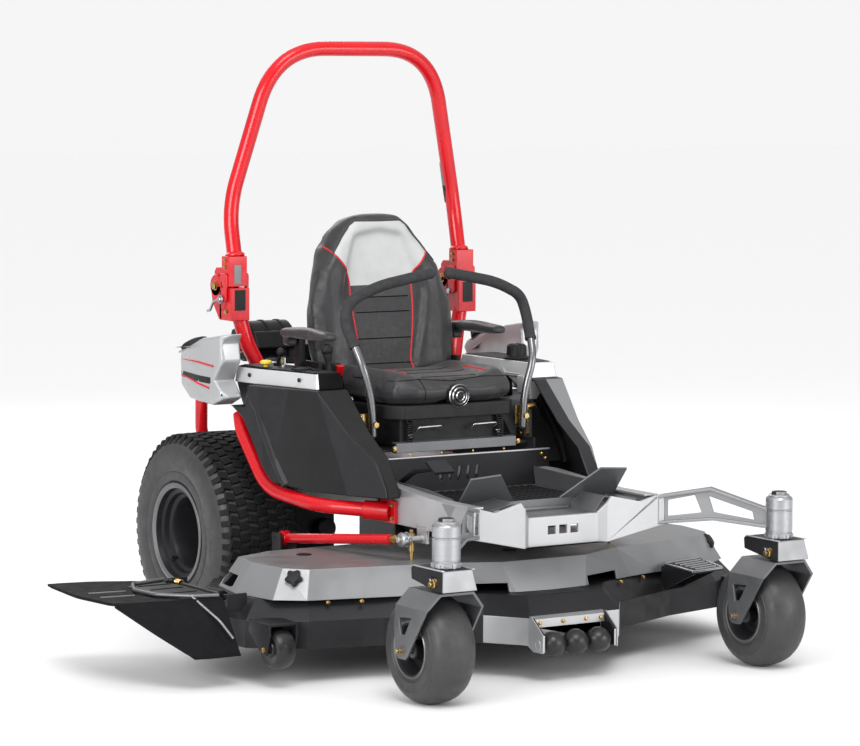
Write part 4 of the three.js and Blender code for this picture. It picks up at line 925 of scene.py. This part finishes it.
def inflated(node, name, shrink, cap, sculpt=None, voxel=6.0, passes=4):
    """The CAD cushion, shrunk, remeshed and blown up by a short cloth simulation."""
    mesh = frame["nodes"][node].data.copy()
    low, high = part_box(node)
    centre, size = (low + high) / 2, high - low
    factors = [(s - 2 * shrink * MM) / s for s in size]
    for vertex in mesh.vertices:
        offset = vertex.co - centre
        vertex.co = centre + Vector([o * f for o, f in zip(offset, factors)])
    obj = bpy.data.objects.new(name, mesh)
    bpy.context.collection.objects.link(obj)
    remesh = obj.modifiers.new("remesh", "REMESH")
    remesh.mode = "VOXEL"
    remesh.voxel_size = voxel * MM
    obj.data = bpy.data.meshes.new_from_object(
        obj.evaluated_get(bpy.context.evaluated_depsgraph_get()))
    obj.modifiers.clear()
    rest = [v.co.copy() for v in obj.data.vertices]
    cloth = obj.modifiers.new("cloth", "CLOTH")
    cloth.settings.use_pressure = True
    cloth.settings.uniform_pressure_force = 4
    cloth.settings.quality = 4
    cloth.settings.effector_weights.gravity = 0
    for number in range(1, 21):
        bpy.context.scene.frame_set(number)
    posed = obj.evaluated_get(bpy.context.evaluated_depsgraph_get()).to_mesh()
    moved = [v.co.copy() for v in posed.vertices]
    obj.modifiers.clear()
    for vertex, start, end in zip(obj.data.vertices, rest, moved):
        step = end - start
        limit = cap * MM
        vertex.co = start + (step if step.length < limit else step.normalized() * limit)
    bpy.context.scene.frame_set(1)
    bm = bmesh.new()
    bm.from_mesh(obj.data)
    for _ in range(passes):
        bmesh.ops.smooth_vert(bm, verts=bm.verts, factor=0.5, use_axis_x=True, use_axis_y=True,
                              use_axis_z=True)
    now_low = Vector([min(v.co[k] for v in bm.verts) for k in range(3)])
    now_high = Vector([max(v.co[k] for v in bm.verts) for k in range(3)])
    for vertex in bm.verts:
        share = [(vertex.co[k] - now_low[k]) / (now_high[k] - now_low[k]) for k in range(3)]
        vertex.co = Vector([low[k] + share[k] * size[k] for k in range(3)])
        if sculpt:
            vertex.co = at(*sculpt(where(vertex.co)))
    bm.to_mesh(obj.data)
    bm.free()
    obj.data.shade_smooth()
    level = obj.modifiers.new("fine", "SUBSURF")
    level.levels = level.render_levels = 1
    return obj


def soft_piece(obj, node, materials, choose):
    """Hangs a finished cushion on its body and colours its panels."""
    obj.data.materials.clear()
    for material in materials:
        obj.data.materials.append(material)
    for face in obj.data.polygons:
        face.material_index = choose(where(face.center), face.normal)
    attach(obj, BODY_OF[node])
    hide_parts(node)


def smooth_step(value, low, high):
    t = min(1, max(0, (value - low) / (high - low)))
    return t * t * (3 - 2 * t)


def sculpt_cushion(p):
    """Raised side bolsters, a shallow dish and a front edge that rolls down."""
    x, y, z = p
    top = smooth_step(z, 820, 872)
    bolster = smooth_step(abs(x), 120, 200) * (1 - smooth_step(abs(x), 215, 262))
    front = 1 - smooth_step(y, -10, 110)
    z += top * (bolster * 13 - 7 * (1 - smooth_step(abs(x), 90, 150)) - 9 * front * front)
    y += (1 - smooth_step(z, 790, 835)) * front * 8
    return x, y, z


KNOB_Z = 811
BACK_FOOT_Z = 822
BACK_LEAN = math.radians(9)
BACK_RISE = 0.988               # rise for each millimetre up the back rest


def seat_height(p):
    """Height up the leaning back rest."""
    return (p[2] - BACK_FOOT_Z) / math.cos(BACK_LEAN)


def insert_half_width(height):
    """Half the width between the two lines of piping on the back rest."""
    return 94 + 26 * smooth_step(height, 0, 300) + 78 * smooth_step(height, 335, 480)


BACK_OUTLINE = [(0, 196), (60, 258), (160, 272), (265, 270), (384, 229), (460, 173), (535, 114),
                (557, 81), (580, 0)]


def back_half_width(height):
    for (low, narrow), (high, wide) in zip(BACK_OUTLINE, BACK_OUTLINE[1:]):
        if height <= high:
            return narrow + (wide - narrow) * (height - low) / (high - low)
    return 0


def sculpt_back(p):
    x, y, z = p
    height = seat_height(p)
    front = 1 - smooth_step(y - (z - BACK_FOOT_Z) * math.tan(BACK_LEAN), 404, 450)
    bolster = smooth_step(abs(x), 100, 170) * (1 - smooth_step(abs(x), 200, 250))
    lumbar = math.exp(-((height - 190) / 90) ** 2)
    y += front * (-11 * bolster * (1 - smooth_step(height, 380, 470)) - 7 * lumbar + 3)
    return x, y, z


def piping(obj, runs, way, radius, name, material, body, sink):
    """A cord along each run of points, moved along a direction onto a soft piece and sunk in it."""
    shape = Shape()
    for run in runs:
        path = draped(obj, between(run, 10), way, -sink)
        if len(path) > 3:
            shape.tube(path, radius, 10, 10, 2)
    shape.piece(name, material, body, "seat_vinyl")


def on_back(x, height):
    """Where a ray towards the back rest starts for a point at a height up it."""
    return (x, 0, BACK_FOOT_Z + height * BACK_RISE)


def seat():
    cushion = inflated("seat_cushion", "cushion", 7, 14, sculpt_cushion)

    def cushion_panel(p, n):
        centre = abs(p.x) < 128 - 24 * (1 - smooth_step(p.y, 0, 160)) and n.z > 0.3 and p.y > 46
        return 1 if centre else 0

    soft_piece(cushion, "seat_cushion", [M["vinyl"], M["vinyl_insert"]], cushion_panel)
    runs = [[(s * 152, 60, ABOVE), (s * 152, 190, ABOVE)] for s in (-1, 1)]
    piping(cushion, runs, (0, 0, -1), 3.2, "cushion_piping", M["piping"], "seat", 0.5)
    # Dark cords sunk along the seams: painted shade in the seam grooves.
    runs = [[(-x, y, ABOVE), (x, y, ABOVE)] for x, y in ((104, 46), (126, 150), (128, 250))]
    piping(cushion, runs, (0, 0, -1), 2.4, "cushion_seam_shade", M["shadow"], "seat", 1.2)
    runs = [[(-120, -200, 800), (-124, -200, 868)],
            [(-250, -200, 862), (-120, -200, 866), (0, -200, 856), (120, -200, 866),
             (250, -200, 862)]]
    piping(cushion, runs, (0, 1, 0), 1.8, "cushion_front_seam_shade", M["shadow"], "seat", 0.7)

    back = inflated("seat_back", "back_rest", 7, 11, sculpt_back, passes=12)

    def back_panel(p, n):
        height = seat_height(p)
        edge = back_half_width(height + 8) - 7
        if n.y > 0 or height > 540 or abs(p.x) > min(edge, insert_half_width(height)):
            return 0
        if height > 326:
            return 2
        return 1 if height < 284 else 0

    soft_piece(back, "seat_back", [M["vinyl"], M["vinyl_insert"], M["vinyl_light"]], back_panel)
    heights = [10 + 12 * k for k in range(41)]
    runs = [[on_back(s * insert_half_width(h), h) for h in heights] for s in (-1, 1)]
    piping(back, runs, (0, 1, 0), 3.2, "back_piping", M["piping"], "seat_back", 0.5)
    welt = [(back_half_width(h + 8) - 7, h) for h in range(400, 541, 14)]
    runs = [[on_back(-x, h) for x, h in welt] + [on_back(x, h) for x, h in reversed(welt)]]
    piping(back, runs, (0, 1, 0), 4.5, "headrest_welt", M["vinyl"], "seat_back", 1.0)
    # Dark cords across the back rest seams: painted shade in the seam grooves.
    runs = [[on_back(-104, h), on_back(104, h)] for h in (62, 146, 234, 284)]
    piping(back, runs, (0, 1, 0), 2.2, "back_seam_shade", M["shadow"], "seat_back", 1.0)
    for name, side in SIDES:
        def plump(p, side=side):
            x, y, z = p
            rise = 5 * math.sin(math.pi * smooth_step(y, 220, 540))
            return x, y, z + rise * smooth_step(z, 985, 1010)
        arm = inflated(f"armrest_{name}", f"arm_pad_{name}", 2.5, 7, plump, 5.0)
        soft_piece(arm, f"armrest_{name}", [M["vinyl"]], lambda p, n: 0)
    refined("seat_shell", M["black"], 3.0)
    knob = Shape().ridged(
        ((0, 0.01), (0, 36), (4, 39), (22, 39), (27, 35), (30, 26), (29, 20), (31, 17), (34, 13),
         (34, 0.01)),
        (0, 5, KNOB_Z), (1, 0, 0), (0, 0, 1), 60,
        lambda radius, along, step, a: radius - (1.8 if 2 < along < 24 and step % 3 == 0 else 0))
    knob.piece("adjuster_knob", M["black"], "seat_knob", "black_plastic", ("seat_knob",))
    trim = Shape()
    for radius, along in ((36, 26.5), (26, 30.5), (14, 34.2)):
        trim.turned([(radius - 2.2, -1), (radius, 1.4), (radius + 2.2, -1), (radius - 2.2, -1)],
                    (0, 5 - along, KNOB_Z), (0, -1, 0), 48)
    trim.piece("knob_rings", M["steel"], "seat_knob", "bright_steel")
    buckle = Shape()
    buckle.tube([(-262, 330, 790), (-270, 306, 824), (-274, 292, 850)], 15, 20, 16)
    buckle.slab((-277, 284, 872), (30, 38, 62), Matrix.Rotation(math.radians(14), 3, "X"))
    buckle.piece("belt_buckle", M["black"], "seat", "black_plastic", bevel=3)
    button = Shape()
    button.slab((-278, 266, 884), (26, 16, 36), Matrix.Rotation(math.radians(20), 3, "X"))
    button.piece("belt_button", M["red"], "seat", "black_plastic", bevel=2)
    gear = Shape()
    gear.tube([(-150, 6, 700), (-150, -14, 716), (-60, -16, 718), (-60, 4, 702)], 3.5, 12, 10)
    gear.tube([(60, 6, 700), (60, -14, 716), (150, -16, 718), (150, 4, 702)], 3.5, 12, 10)
    for x in (-168, 168):
        gear.rod((x, 16, 690), (x, 4, 690), 8, 16)
    gear.piece("seat_hooks", M["steel"], "seat", "bright_steel")
    springs = Shape()
    for x in (-172, 172):
        points = [(x + 11 * math.cos(k * 0.8), 8 + 11 * math.sin(k * 0.8), 662 + k * 0.9)
                  for k in range(84)]
        springs.tube(points, 2.6, 2, 8, 1)
    springs.piece("seat_springs", M["black"], "seat", "black_plastic")


# ---- Controls ------------------------------------------------------------------------------


def control_levers():
    for name, side in SIDES:
        x, y = 288, 40
        shaft = [(x, y, 692), (x + 3, y, 800), (x + 38, y - 3, 914), (x + 50, y + 34, 985)]
        grip = [(x + 49, y + 31, 975), (x + 62, y + 76, 1055), (x + 40, y + 79, 1118),
                (x - 60, y + 70, 1164), (35, y + 59, 1200)]
        lever = Shape().tube([(side * a, b, c) for a, b, c in shaft], 12.5, 55, 24, 10)
        lever.ball((side * x, y, 693), 12.4)
        lever.piece(f"lever_tube_{name}", M["lever"], f"control_lever_{name}", "bright_steel",
                    (f"control_lever_{name}",))
        foam = Shape().tube([(side * a, b, c) for a, b, c in grip], 18, 60, 24, 12)
        foam.ball((side * 36, y + 59, 1199.5), 17.8)
        foam.turned([(13, -3), (18.5, -1), (19.5, 6), (18, 12)],
                    (side * (x + 49), y + 31, 975), (side * 0.15, 0.47, 0.87), 24)
        foam.piece(f"lever_foam_{name}", M["foam"], f"control_lever_{name}", "black_rubber")
        refined(f"lever_yoke_{name}", M["zinc"], 0.8)
        bracket = Shape()
        bracket.prism("y", [(side * 322, 640), (side * 344, 640), (side * 344, 742),
                            (side * 358, 742), (side * 358, 756), (side * 330, 756),
                            (side * 330, 652), (side * 322, 652)], 70, 76)
        bracket.piece(f"lever_bracket_{name}", M["grey"], "chassis", "grey_steel", bevel=1)
        link = Shape().rod((side * 334, 90, 600), (side * 334, 90, 742), 5, 16)
        link.rod((side * 334, 90, 628), (side * 334, 90, 712), 8, 16)
        link.piece(f"lever_damper_{name}", M["zinc"], "chassis", "zinc_gold")


# ---- Frame and platform --------------------------------------------------------------------


def platform():
    refined("main_frame", M["silver"], 1.5, smooth=14)
    axle = refined("front_axle", M["silver"], 2.0, smooth=12)
    # The axle's outer parts take the darker silver copy: the same silver paint with painted shade.
    split_material(axle, M["silver_deck"], lambda p, n: abs(p.x) > 352)
    refined("foot_platform", M["grey"], 1.2, smooth=9)
    refined("seat_base", M["dark"], 1.2, smooth=14)
    bar = Shape().prism("x", [(-8, 637), (-8, 667), (-2, 670), (22, 670), (22, 666), (0, 666),
                              (0, 640), (20, 640), (20, 636), (-4, 636)], -229, 229)
    bar.piece("seat_bar", M["grey"], "chassis", "grey_steel", bevel=1)
    edge = Shape().box(-352, 352, -22.5, -11, 619, 624)
    edge.piece("riser_lip", M["silver"], "chassis", "silver_paint", bevel=1)
    bolts = Shape()
    for x in (-236, 236):
        bolts.bolt((x, -8, 652), (0, -1, 0), 7)
        bolts.bolt((x * 1.36, -20, 606), (0, -1, 0), 6)
    for x in (-180, -60, 60, 180):
        bolts.bolt((x, -10, 630), (0, -1, 0), 4, washer=False)
    for side in (-1, 1):
        bolts.bolt((side * 336, -20, 590), (0, -1, 0), 6)
        bolts.bolt((side * 318, -640, 515), (0, -1, 0), 6)
        for y, z in ((-600, 500), (-520, 480)):
            bolts.bolt((side * 356, y, z), (side, 0, 0), 7)
        for x in (120, 250):
            bolts.bolt((side * x, -446, 507), (0, 0, 1), 5, washer=False)
    bolts.piece("platform_bolts", M["zinc"], "chassis", "zinc_gold")
    mat = Shape()
    for k in range(17):
        mat.box(-252 + k * 31, -252 + k * 31 + 15, -430, -52, 507, 511)
    mat.box(-268, 268, -438, -44, 505, 508.4)
    mat.piece("floor_mat", M["black"], "chassis", "black_rubber", bevel=1)
    for side in (-1, 1):
        well = Shape()
        well.prism("x", [(-452, 508), (-300, 508), (-30, 508), (-14, 566), (-300, 556),
                         (-440, 540)], *span(side, 291, 297))
        well.piece(f"well_side_{'right' if side < 0 else 'left'}", M["grey"], "chassis",
                   "grey_steel", bevel=1.5)
    # Near-black discs in the foot rests' holes: painted shade where one looks into them.
    holes = Shape()
    for side in (-1, 1):
        turn = Matrix.Rotation(math.radians(40), 3, "X")
        way = turn @ Vector((0, -1, 0))
        for x in (160, 240):
            centre = Vector((side * x, -465, 526)) + turn @ Vector((0, 3, 40))
            holes.turned([(0, 0), (7, 0), (7, 0.8), (0, 0.8)], centre + way * 3.4, way, 20)
    holes.piece("rest_hole_shade", M["shadow"], "chassis", "grey_steel")


# ---- Engine --------------------------------------------------------------------------------


def engine():
    refined("engine_block", M["cast"], 3.0, 3)
    refined("engine_cover", M["black"], 7.0, 4)
    fins = Shape()
    for side in (-1, 1):
        turn = Matrix.Rotation(math.radians(side * 45), 3, "Y")
        for k in range(8):
            centre = Vector((side * 70, 730, 700)) + turn @ Vector((0, 0, 12 + 16 * k))
            fins.slab(centre, (140, 172, 4), turn)
    fins.piece("cooling_fins", M["cast"], "chassis", "cast_alloy", bevel=0.8)
    screen = Shape()
    for k in range(40):
        angle = 2 * math.pi * k / 40
        centre = (60 + 72 * math.cos(angle), 755 + 72 * math.sin(angle), 963)
        screen.slab(centre, (58, 4, 3), Matrix.Rotation(angle, 3, "Z"))
    for radius in (40, 72, 104):
        screen.turned([(radius - 3, 0), (radius + 3, 0), (radius + 3, 4), (radius - 3, 4),
                       (radius - 3, 0)], (60, 755, 961), (0, 0, 1), 48)
    screen.turned([(0, 0), (30, 0), (30, 5), (22, 9), (0, 9)], (60, 755, 961), (0, 0, 1), 40)
    screen.piece("fan_screen", M["black"], "chassis", "black_plastic", bevel=0.5)
    cleaner = Shape()
    cleaner.rod((-196, 750, 950), (-372, 750, 950), 66, 48, edge=8)
    for x in (-230, -290, -350):
        cleaner.turned([(66, 0), (69, 0), (69, 10), (66, 10), (66, 0)], (x, 750, 950), (-1, 0, 0),
                       48)
    cleaner.piece("air_cleaner", M["black"], "chassis", "black_plastic", smooth=30)
    shield = Shape()
    for k in range(9):
        shield.turned([(39, 0), (43, 0), (43, 22), (39, 22), (39, 0)], (-232 + k * 52, 860, 690),
                      (1, 0, 0), 40)
    shield.tube([(236, 860, 690), (268, 860, 690), (276, 884, 684), (276, 930, 668)], 17, 22, 20)
    shield.piece("muffler_shield", M["steel"], "chassis", "cast_alloy", smooth=30)
    filters = Shape()
    filters.rod((150, 700, 660), (206, 700, 660), 38, 40, edge=6)
    filters.piece("oil_filter", M["yellow"], "chassis", "yellow_plastic")
    bolts = Shape()
    for side in (-1, 1):
        for x, y in ((180, 668), (216, 740), (190, 860), (80, 652)):
            bolts.bolt((side * x, y, 940), (0, 0, 1), 7)
        for z in (650, 740, 810):
            bolts.bolt((side * 120, 600, z), (0, -1, 0), 8)
    bolts.piece("engine_bolts", M["steel"], "chassis", "bright_steel")
    refined("crank_pulley", M["zinc"], 1.5)
    for name, side in SIDES:
        refined(f"transaxle_{name}", M["cast"], 5.0, 3)
        parts = Shape()
        for k in range(7):
            parts.slab((side * (140 + 22 * k), 680, 435), (5, 220, 6))
        for k in range(9):
            angle = 2 * math.pi * k / 9
            parts.slab((side * 205 + 52 * math.cos(angle), 680 + 52 * math.sin(angle), 440),
                       (50, 26, 2.5),
                       Matrix.Rotation(angle, 3, "Z") @ Matrix.Rotation(0.4, 3, "X"))
        for y, z in ((572, 260), (572, 410), (790, 260), (790, 410)):
            parts.bolt((side * 290, y, z), (side, 0, 0), 9)
        parts.rod((side * 170, 556, 330), (side * 170, 520, 330), 34, 32, edge=4)
        parts.piece(f"transaxle_parts_{name}", M["cast"], "chassis", "cast_alloy", bevel=0.6)


# ---- Cutting deck --------------------------------------------------------------------------


def deck():
    mesh = sliced("deck_shell", [((s * 255, 0, 0), (1, 0, 0)) for s in (-1, 1)])
    shell = finish_piece("deck_skin", mesh, M["dark"], "deck", ("deck_shell",),
                         1.8, 2, 9)
    split_material(shell, M["silver"],
                   lambda p, n: p.y < -548 and p.z < 193 and n.z < 0.2 and n.y < -0.2)
    # The belt cover takes the darker silver copy: the same silver paint with painted shade.
    cover = refined("deck_cover", M["silver_deck"], 2.0, smooth=9)
    cover.name = "belt_cover"
    refined("nose_roller", M["roller"], 0.6)
    for name in ("right", "centre", "left"):
        refined(f"blade_{name}", M["dark"], 0.8)
    for name, side in SIDES:
        front = Vector((side * 411, -347, 414))
        rear = Vector((side * 520, 200, 362))
        way_back = (rear - front).normalized()
        link = Shape().rod(front + way_back * 62, rear, 16, 28)
        link.rod(rear - Vector((14, 0, 0)), rear + Vector((14, 0, 0)), 24, 32, edge=2)
        link.piece(f"link_tube_{name}", M["red"], "drag_links", "red_paint",
                   (f"drag_link_{name}",), bevel=0.8)
        ends = Shape()
        ends.turned([(0, 0), (10, 0), (10, 30), (15, 30), (15, 42), (10, 42), (10, 64), (0, 64)],
                    front, way_back, 6)
        joint = Shape().ball(front, 20, 28)
        for way in (-1, 1):
            joint.turned([(8, 0), (23, 0), (23, 3), (19, 8), (8, 10), (8, 0)],
                         front + Vector((way * 8, 0, 0)), (way, 0, 0), 28)
            ends.bolt(front + Vector((way * 17, 0, 0)), (way, 0, 0), 8)
            ends.bolt(rear + Vector((way * 15, 0, 0)), (way, 0, 0), 9)
        joint.piece(f"rod_end_{name}", M["steel"], "drag_links", "zinc_gold")
        ends.piece(f"rod_end_nuts_{name}", M["zinc"], "drag_links", "zinc_gold")
    knobs = Shape()
    for side in (-1, 1):
        base = Vector((side * 771, -299, 306))
        out = Vector((side * 0.55, -0.62, 0.56)).normalized()
        across = out.orthogonal().normalized()
        knobs.ridged(
            ((0, 9), (14, 10), (16, 22), (30, 24), (36, 18), (37, 0.01)),
            base, across, out.cross(across), 50,
            lambda radius, height, step, a:
                radius * (1 - (0.16 if 14 < height < 36 else 0) * math.cos(5 * a)))
    knobs.piece("cover_knobs", M["black"], "deck", "black_plastic")
    bolts = Shape()
    for side in (-1, 1):
        for x, y in ((300, -500), (420, -452), (600, -408), (700, -376)):
            bolts.bolt((side * x, y, 246), (side * 0.2, -0.55, 0.8), 6)
    for x in (-140, -55, 30, 85):
        bolts.bolt((x, -694, 180), (0, -1, 0), 6)
    bolts.piece("deck_bolts", M["zinc"], "deck", "zinc_gold")
    caps = Shape()
    for x, y in ((-600, -60), (600, -60), (0, -315)):
        caps.turned([(0, 0), (24, 0), (24, 2), (16, 4), (0, 4)], (x, y, 346), (0, 0, 1), 48)
    caps.piece("spindle_caps", M["dark"], "deck", "dark_steel")
    rods = Shape()
    for side in (-1, 1):
        rods.rod((side * 374, -330, 346), (side * 374, -330, 440), 6, 16)
        rods.rod((side * 374, -330, 418), (side * 374, -330, 428), 11, 6)
        rods.rod((side * 374, -330, 372), (side * 374, -330, 400), 9, 16)
    rods.piece("hanger_rods", M["zinc"], "deck", "zinc_gold")
    for name, side in SIDES:
        wheel = Shape()
        x, y, z = side * 876, -380, 122
        half = [(0, -38), (14, -38), (14, -34), (24, -34), (26, -30), (40, -31), (48, -33),
                (56, -28), (60, -18), (62, -6), (62, 0)]
        wheel.turned(half + [(r, -a) for r, a in reversed(half[:-1])], (x, y, z), (1, 0, 0), 64)
        wheel.piece(f"corner_wheel_{name}", M["roller"], f"anti_scalp_wheel_{name}",
                    "black_rubber", (f"anti_scalp_wheel_{name}",), smooth=30)
        nuts = Shape()
        for way in (-1, 1):
            nuts.bolt((x + way * 50, y, z), (way, 0, 0), 8)
        nuts.piece(f"corner_nuts_{name}", M["zinc"], f"anti_scalp_wheel_{name}", "zinc_gold")
    front = Shape()
    for x in (-167.6, 107.6):
        front.prism("x", [(-752, 96), (-700, 94), (-664, 112), (-664, 186), (-690, 200),
                          (-752, 152)], x - 1.6, x + 1.6)
        front.turned([(10, 0), (18, 0), (18, 4), (10, 4), (10, 0)],
                     (x, -724, 118), (1 if x > 0 else -1, 0, 0), 24)
    front.prism("x", [(-694, 166), (-694, 192), (-672, 200), (-664, 200), (-664, 168)], -166,
                106)
    front.piece("roller_cheeks", M["silver"], "deck", "silver_paint", bevel=0.8)
    grille = Shape()
    for k in range(5):
        share = (k + 0.5) / 5
        first = Vector((516, -612, 281.4)).lerp(Vector((536, -452, 281.4)), share)
        second = Vector((612, -590, 281.4)).lerp(Vector((664, -420, 281.4)), share)
        grille.tube([first, second], 4, 5, 8, 1)
    outline = [(486, -630), (622, -602), (684, -398), (516, -436)]
    grille.tube([(x, y, 281) for x, y in outline + outline[:1]], 4, 6, 10)
    grille.piece("step_grille", M["steel"], "deck", "bright_steel", bevel=0.5)


def chute():
    skin = refined("discharge_chute", M["rubber"], 1.5)
    skin.name = "chute_skin"
    body, slot = "discharge_chute", "black_rubber"
    top = Shape()
    top.prism("z", [(-972, -196), (-1090, -176), (-1146, -60), (-1120, 130), (-972, 160)], 260.4,
              263)
    for offset in (-150, -70, 20, 100):
        top.box(-1096, -984, offset, offset + 5, 262.8, 266)
    top.piece("chute_plate", M["dark"], body, slot, bevel=0.8)
    rods = Shape()
    rods.tube([(-972, 170, 268), (-1100, 134, 268), (-1152, 20, 268), (-1140, -92, 268),
               (-1060, -176, 268), (-980, -200, 268)], 6, 14, 12)
    rods.tube([(-1060, -176, 268), (-1010, -262, 200), (-985, -300, 150)], 4.5, 14, 12)
    rods.piece("chute_rods", M["grey"], body, "bright_steel")
    ribs = Shape()
    for x0, x1, y in ((-1290, -1180, -30), (-1285, -1165, 60)):
        ribs.slab(((x0 + x1) / 2, y, 261), (x1 - x0, 7, 5),
                  Matrix.Rotation(math.radians(-8), 3, "Z"))
    ribs.piece("flap_ribs", M["grey"], body, "bright_steel", bevel=1)
    edge = Shape().tube([(-970, -206, 256), (-1304, -144, 256), (-1328, 60, 256),
                         (-1300, 316, 256), (-1160, 288, 256), (-1014, 213, 256),
                         (-970, 166, 256)], 5, 40, 12)
    edge.tube([(-970, -316, 103), (-1120, -316, 103), (-1216, -230, 178), (-1302, -146, 252)],
              4.5, 40, 12)
    edge.piece("chute_edge", M["rubber"], body, slot)
    spring = Shape()
    points = [(-952 + 10 * math.cos(k * 0.7), 92 + k * 0.5, 264 + 10 * math.sin(k * 0.7))
              for k in range(70)]
    spring.tube(points, 2.2, 2, 8, 1)
    spring.piece("chute_spring", M["zinc"], body, "zinc_gold")


roll_bar()
roll_bar_base()
for label, way in SIDES:
    rear_tyre(label, way)
    rear_rim(label, way)
    caster(label, way)
pods()
consoles()
fuel_tanks()
side_rails()
seat()
control_levers()
platform()
refined("lift_pedal", M["dark"], 1.5)
engine()
deck()
chute()
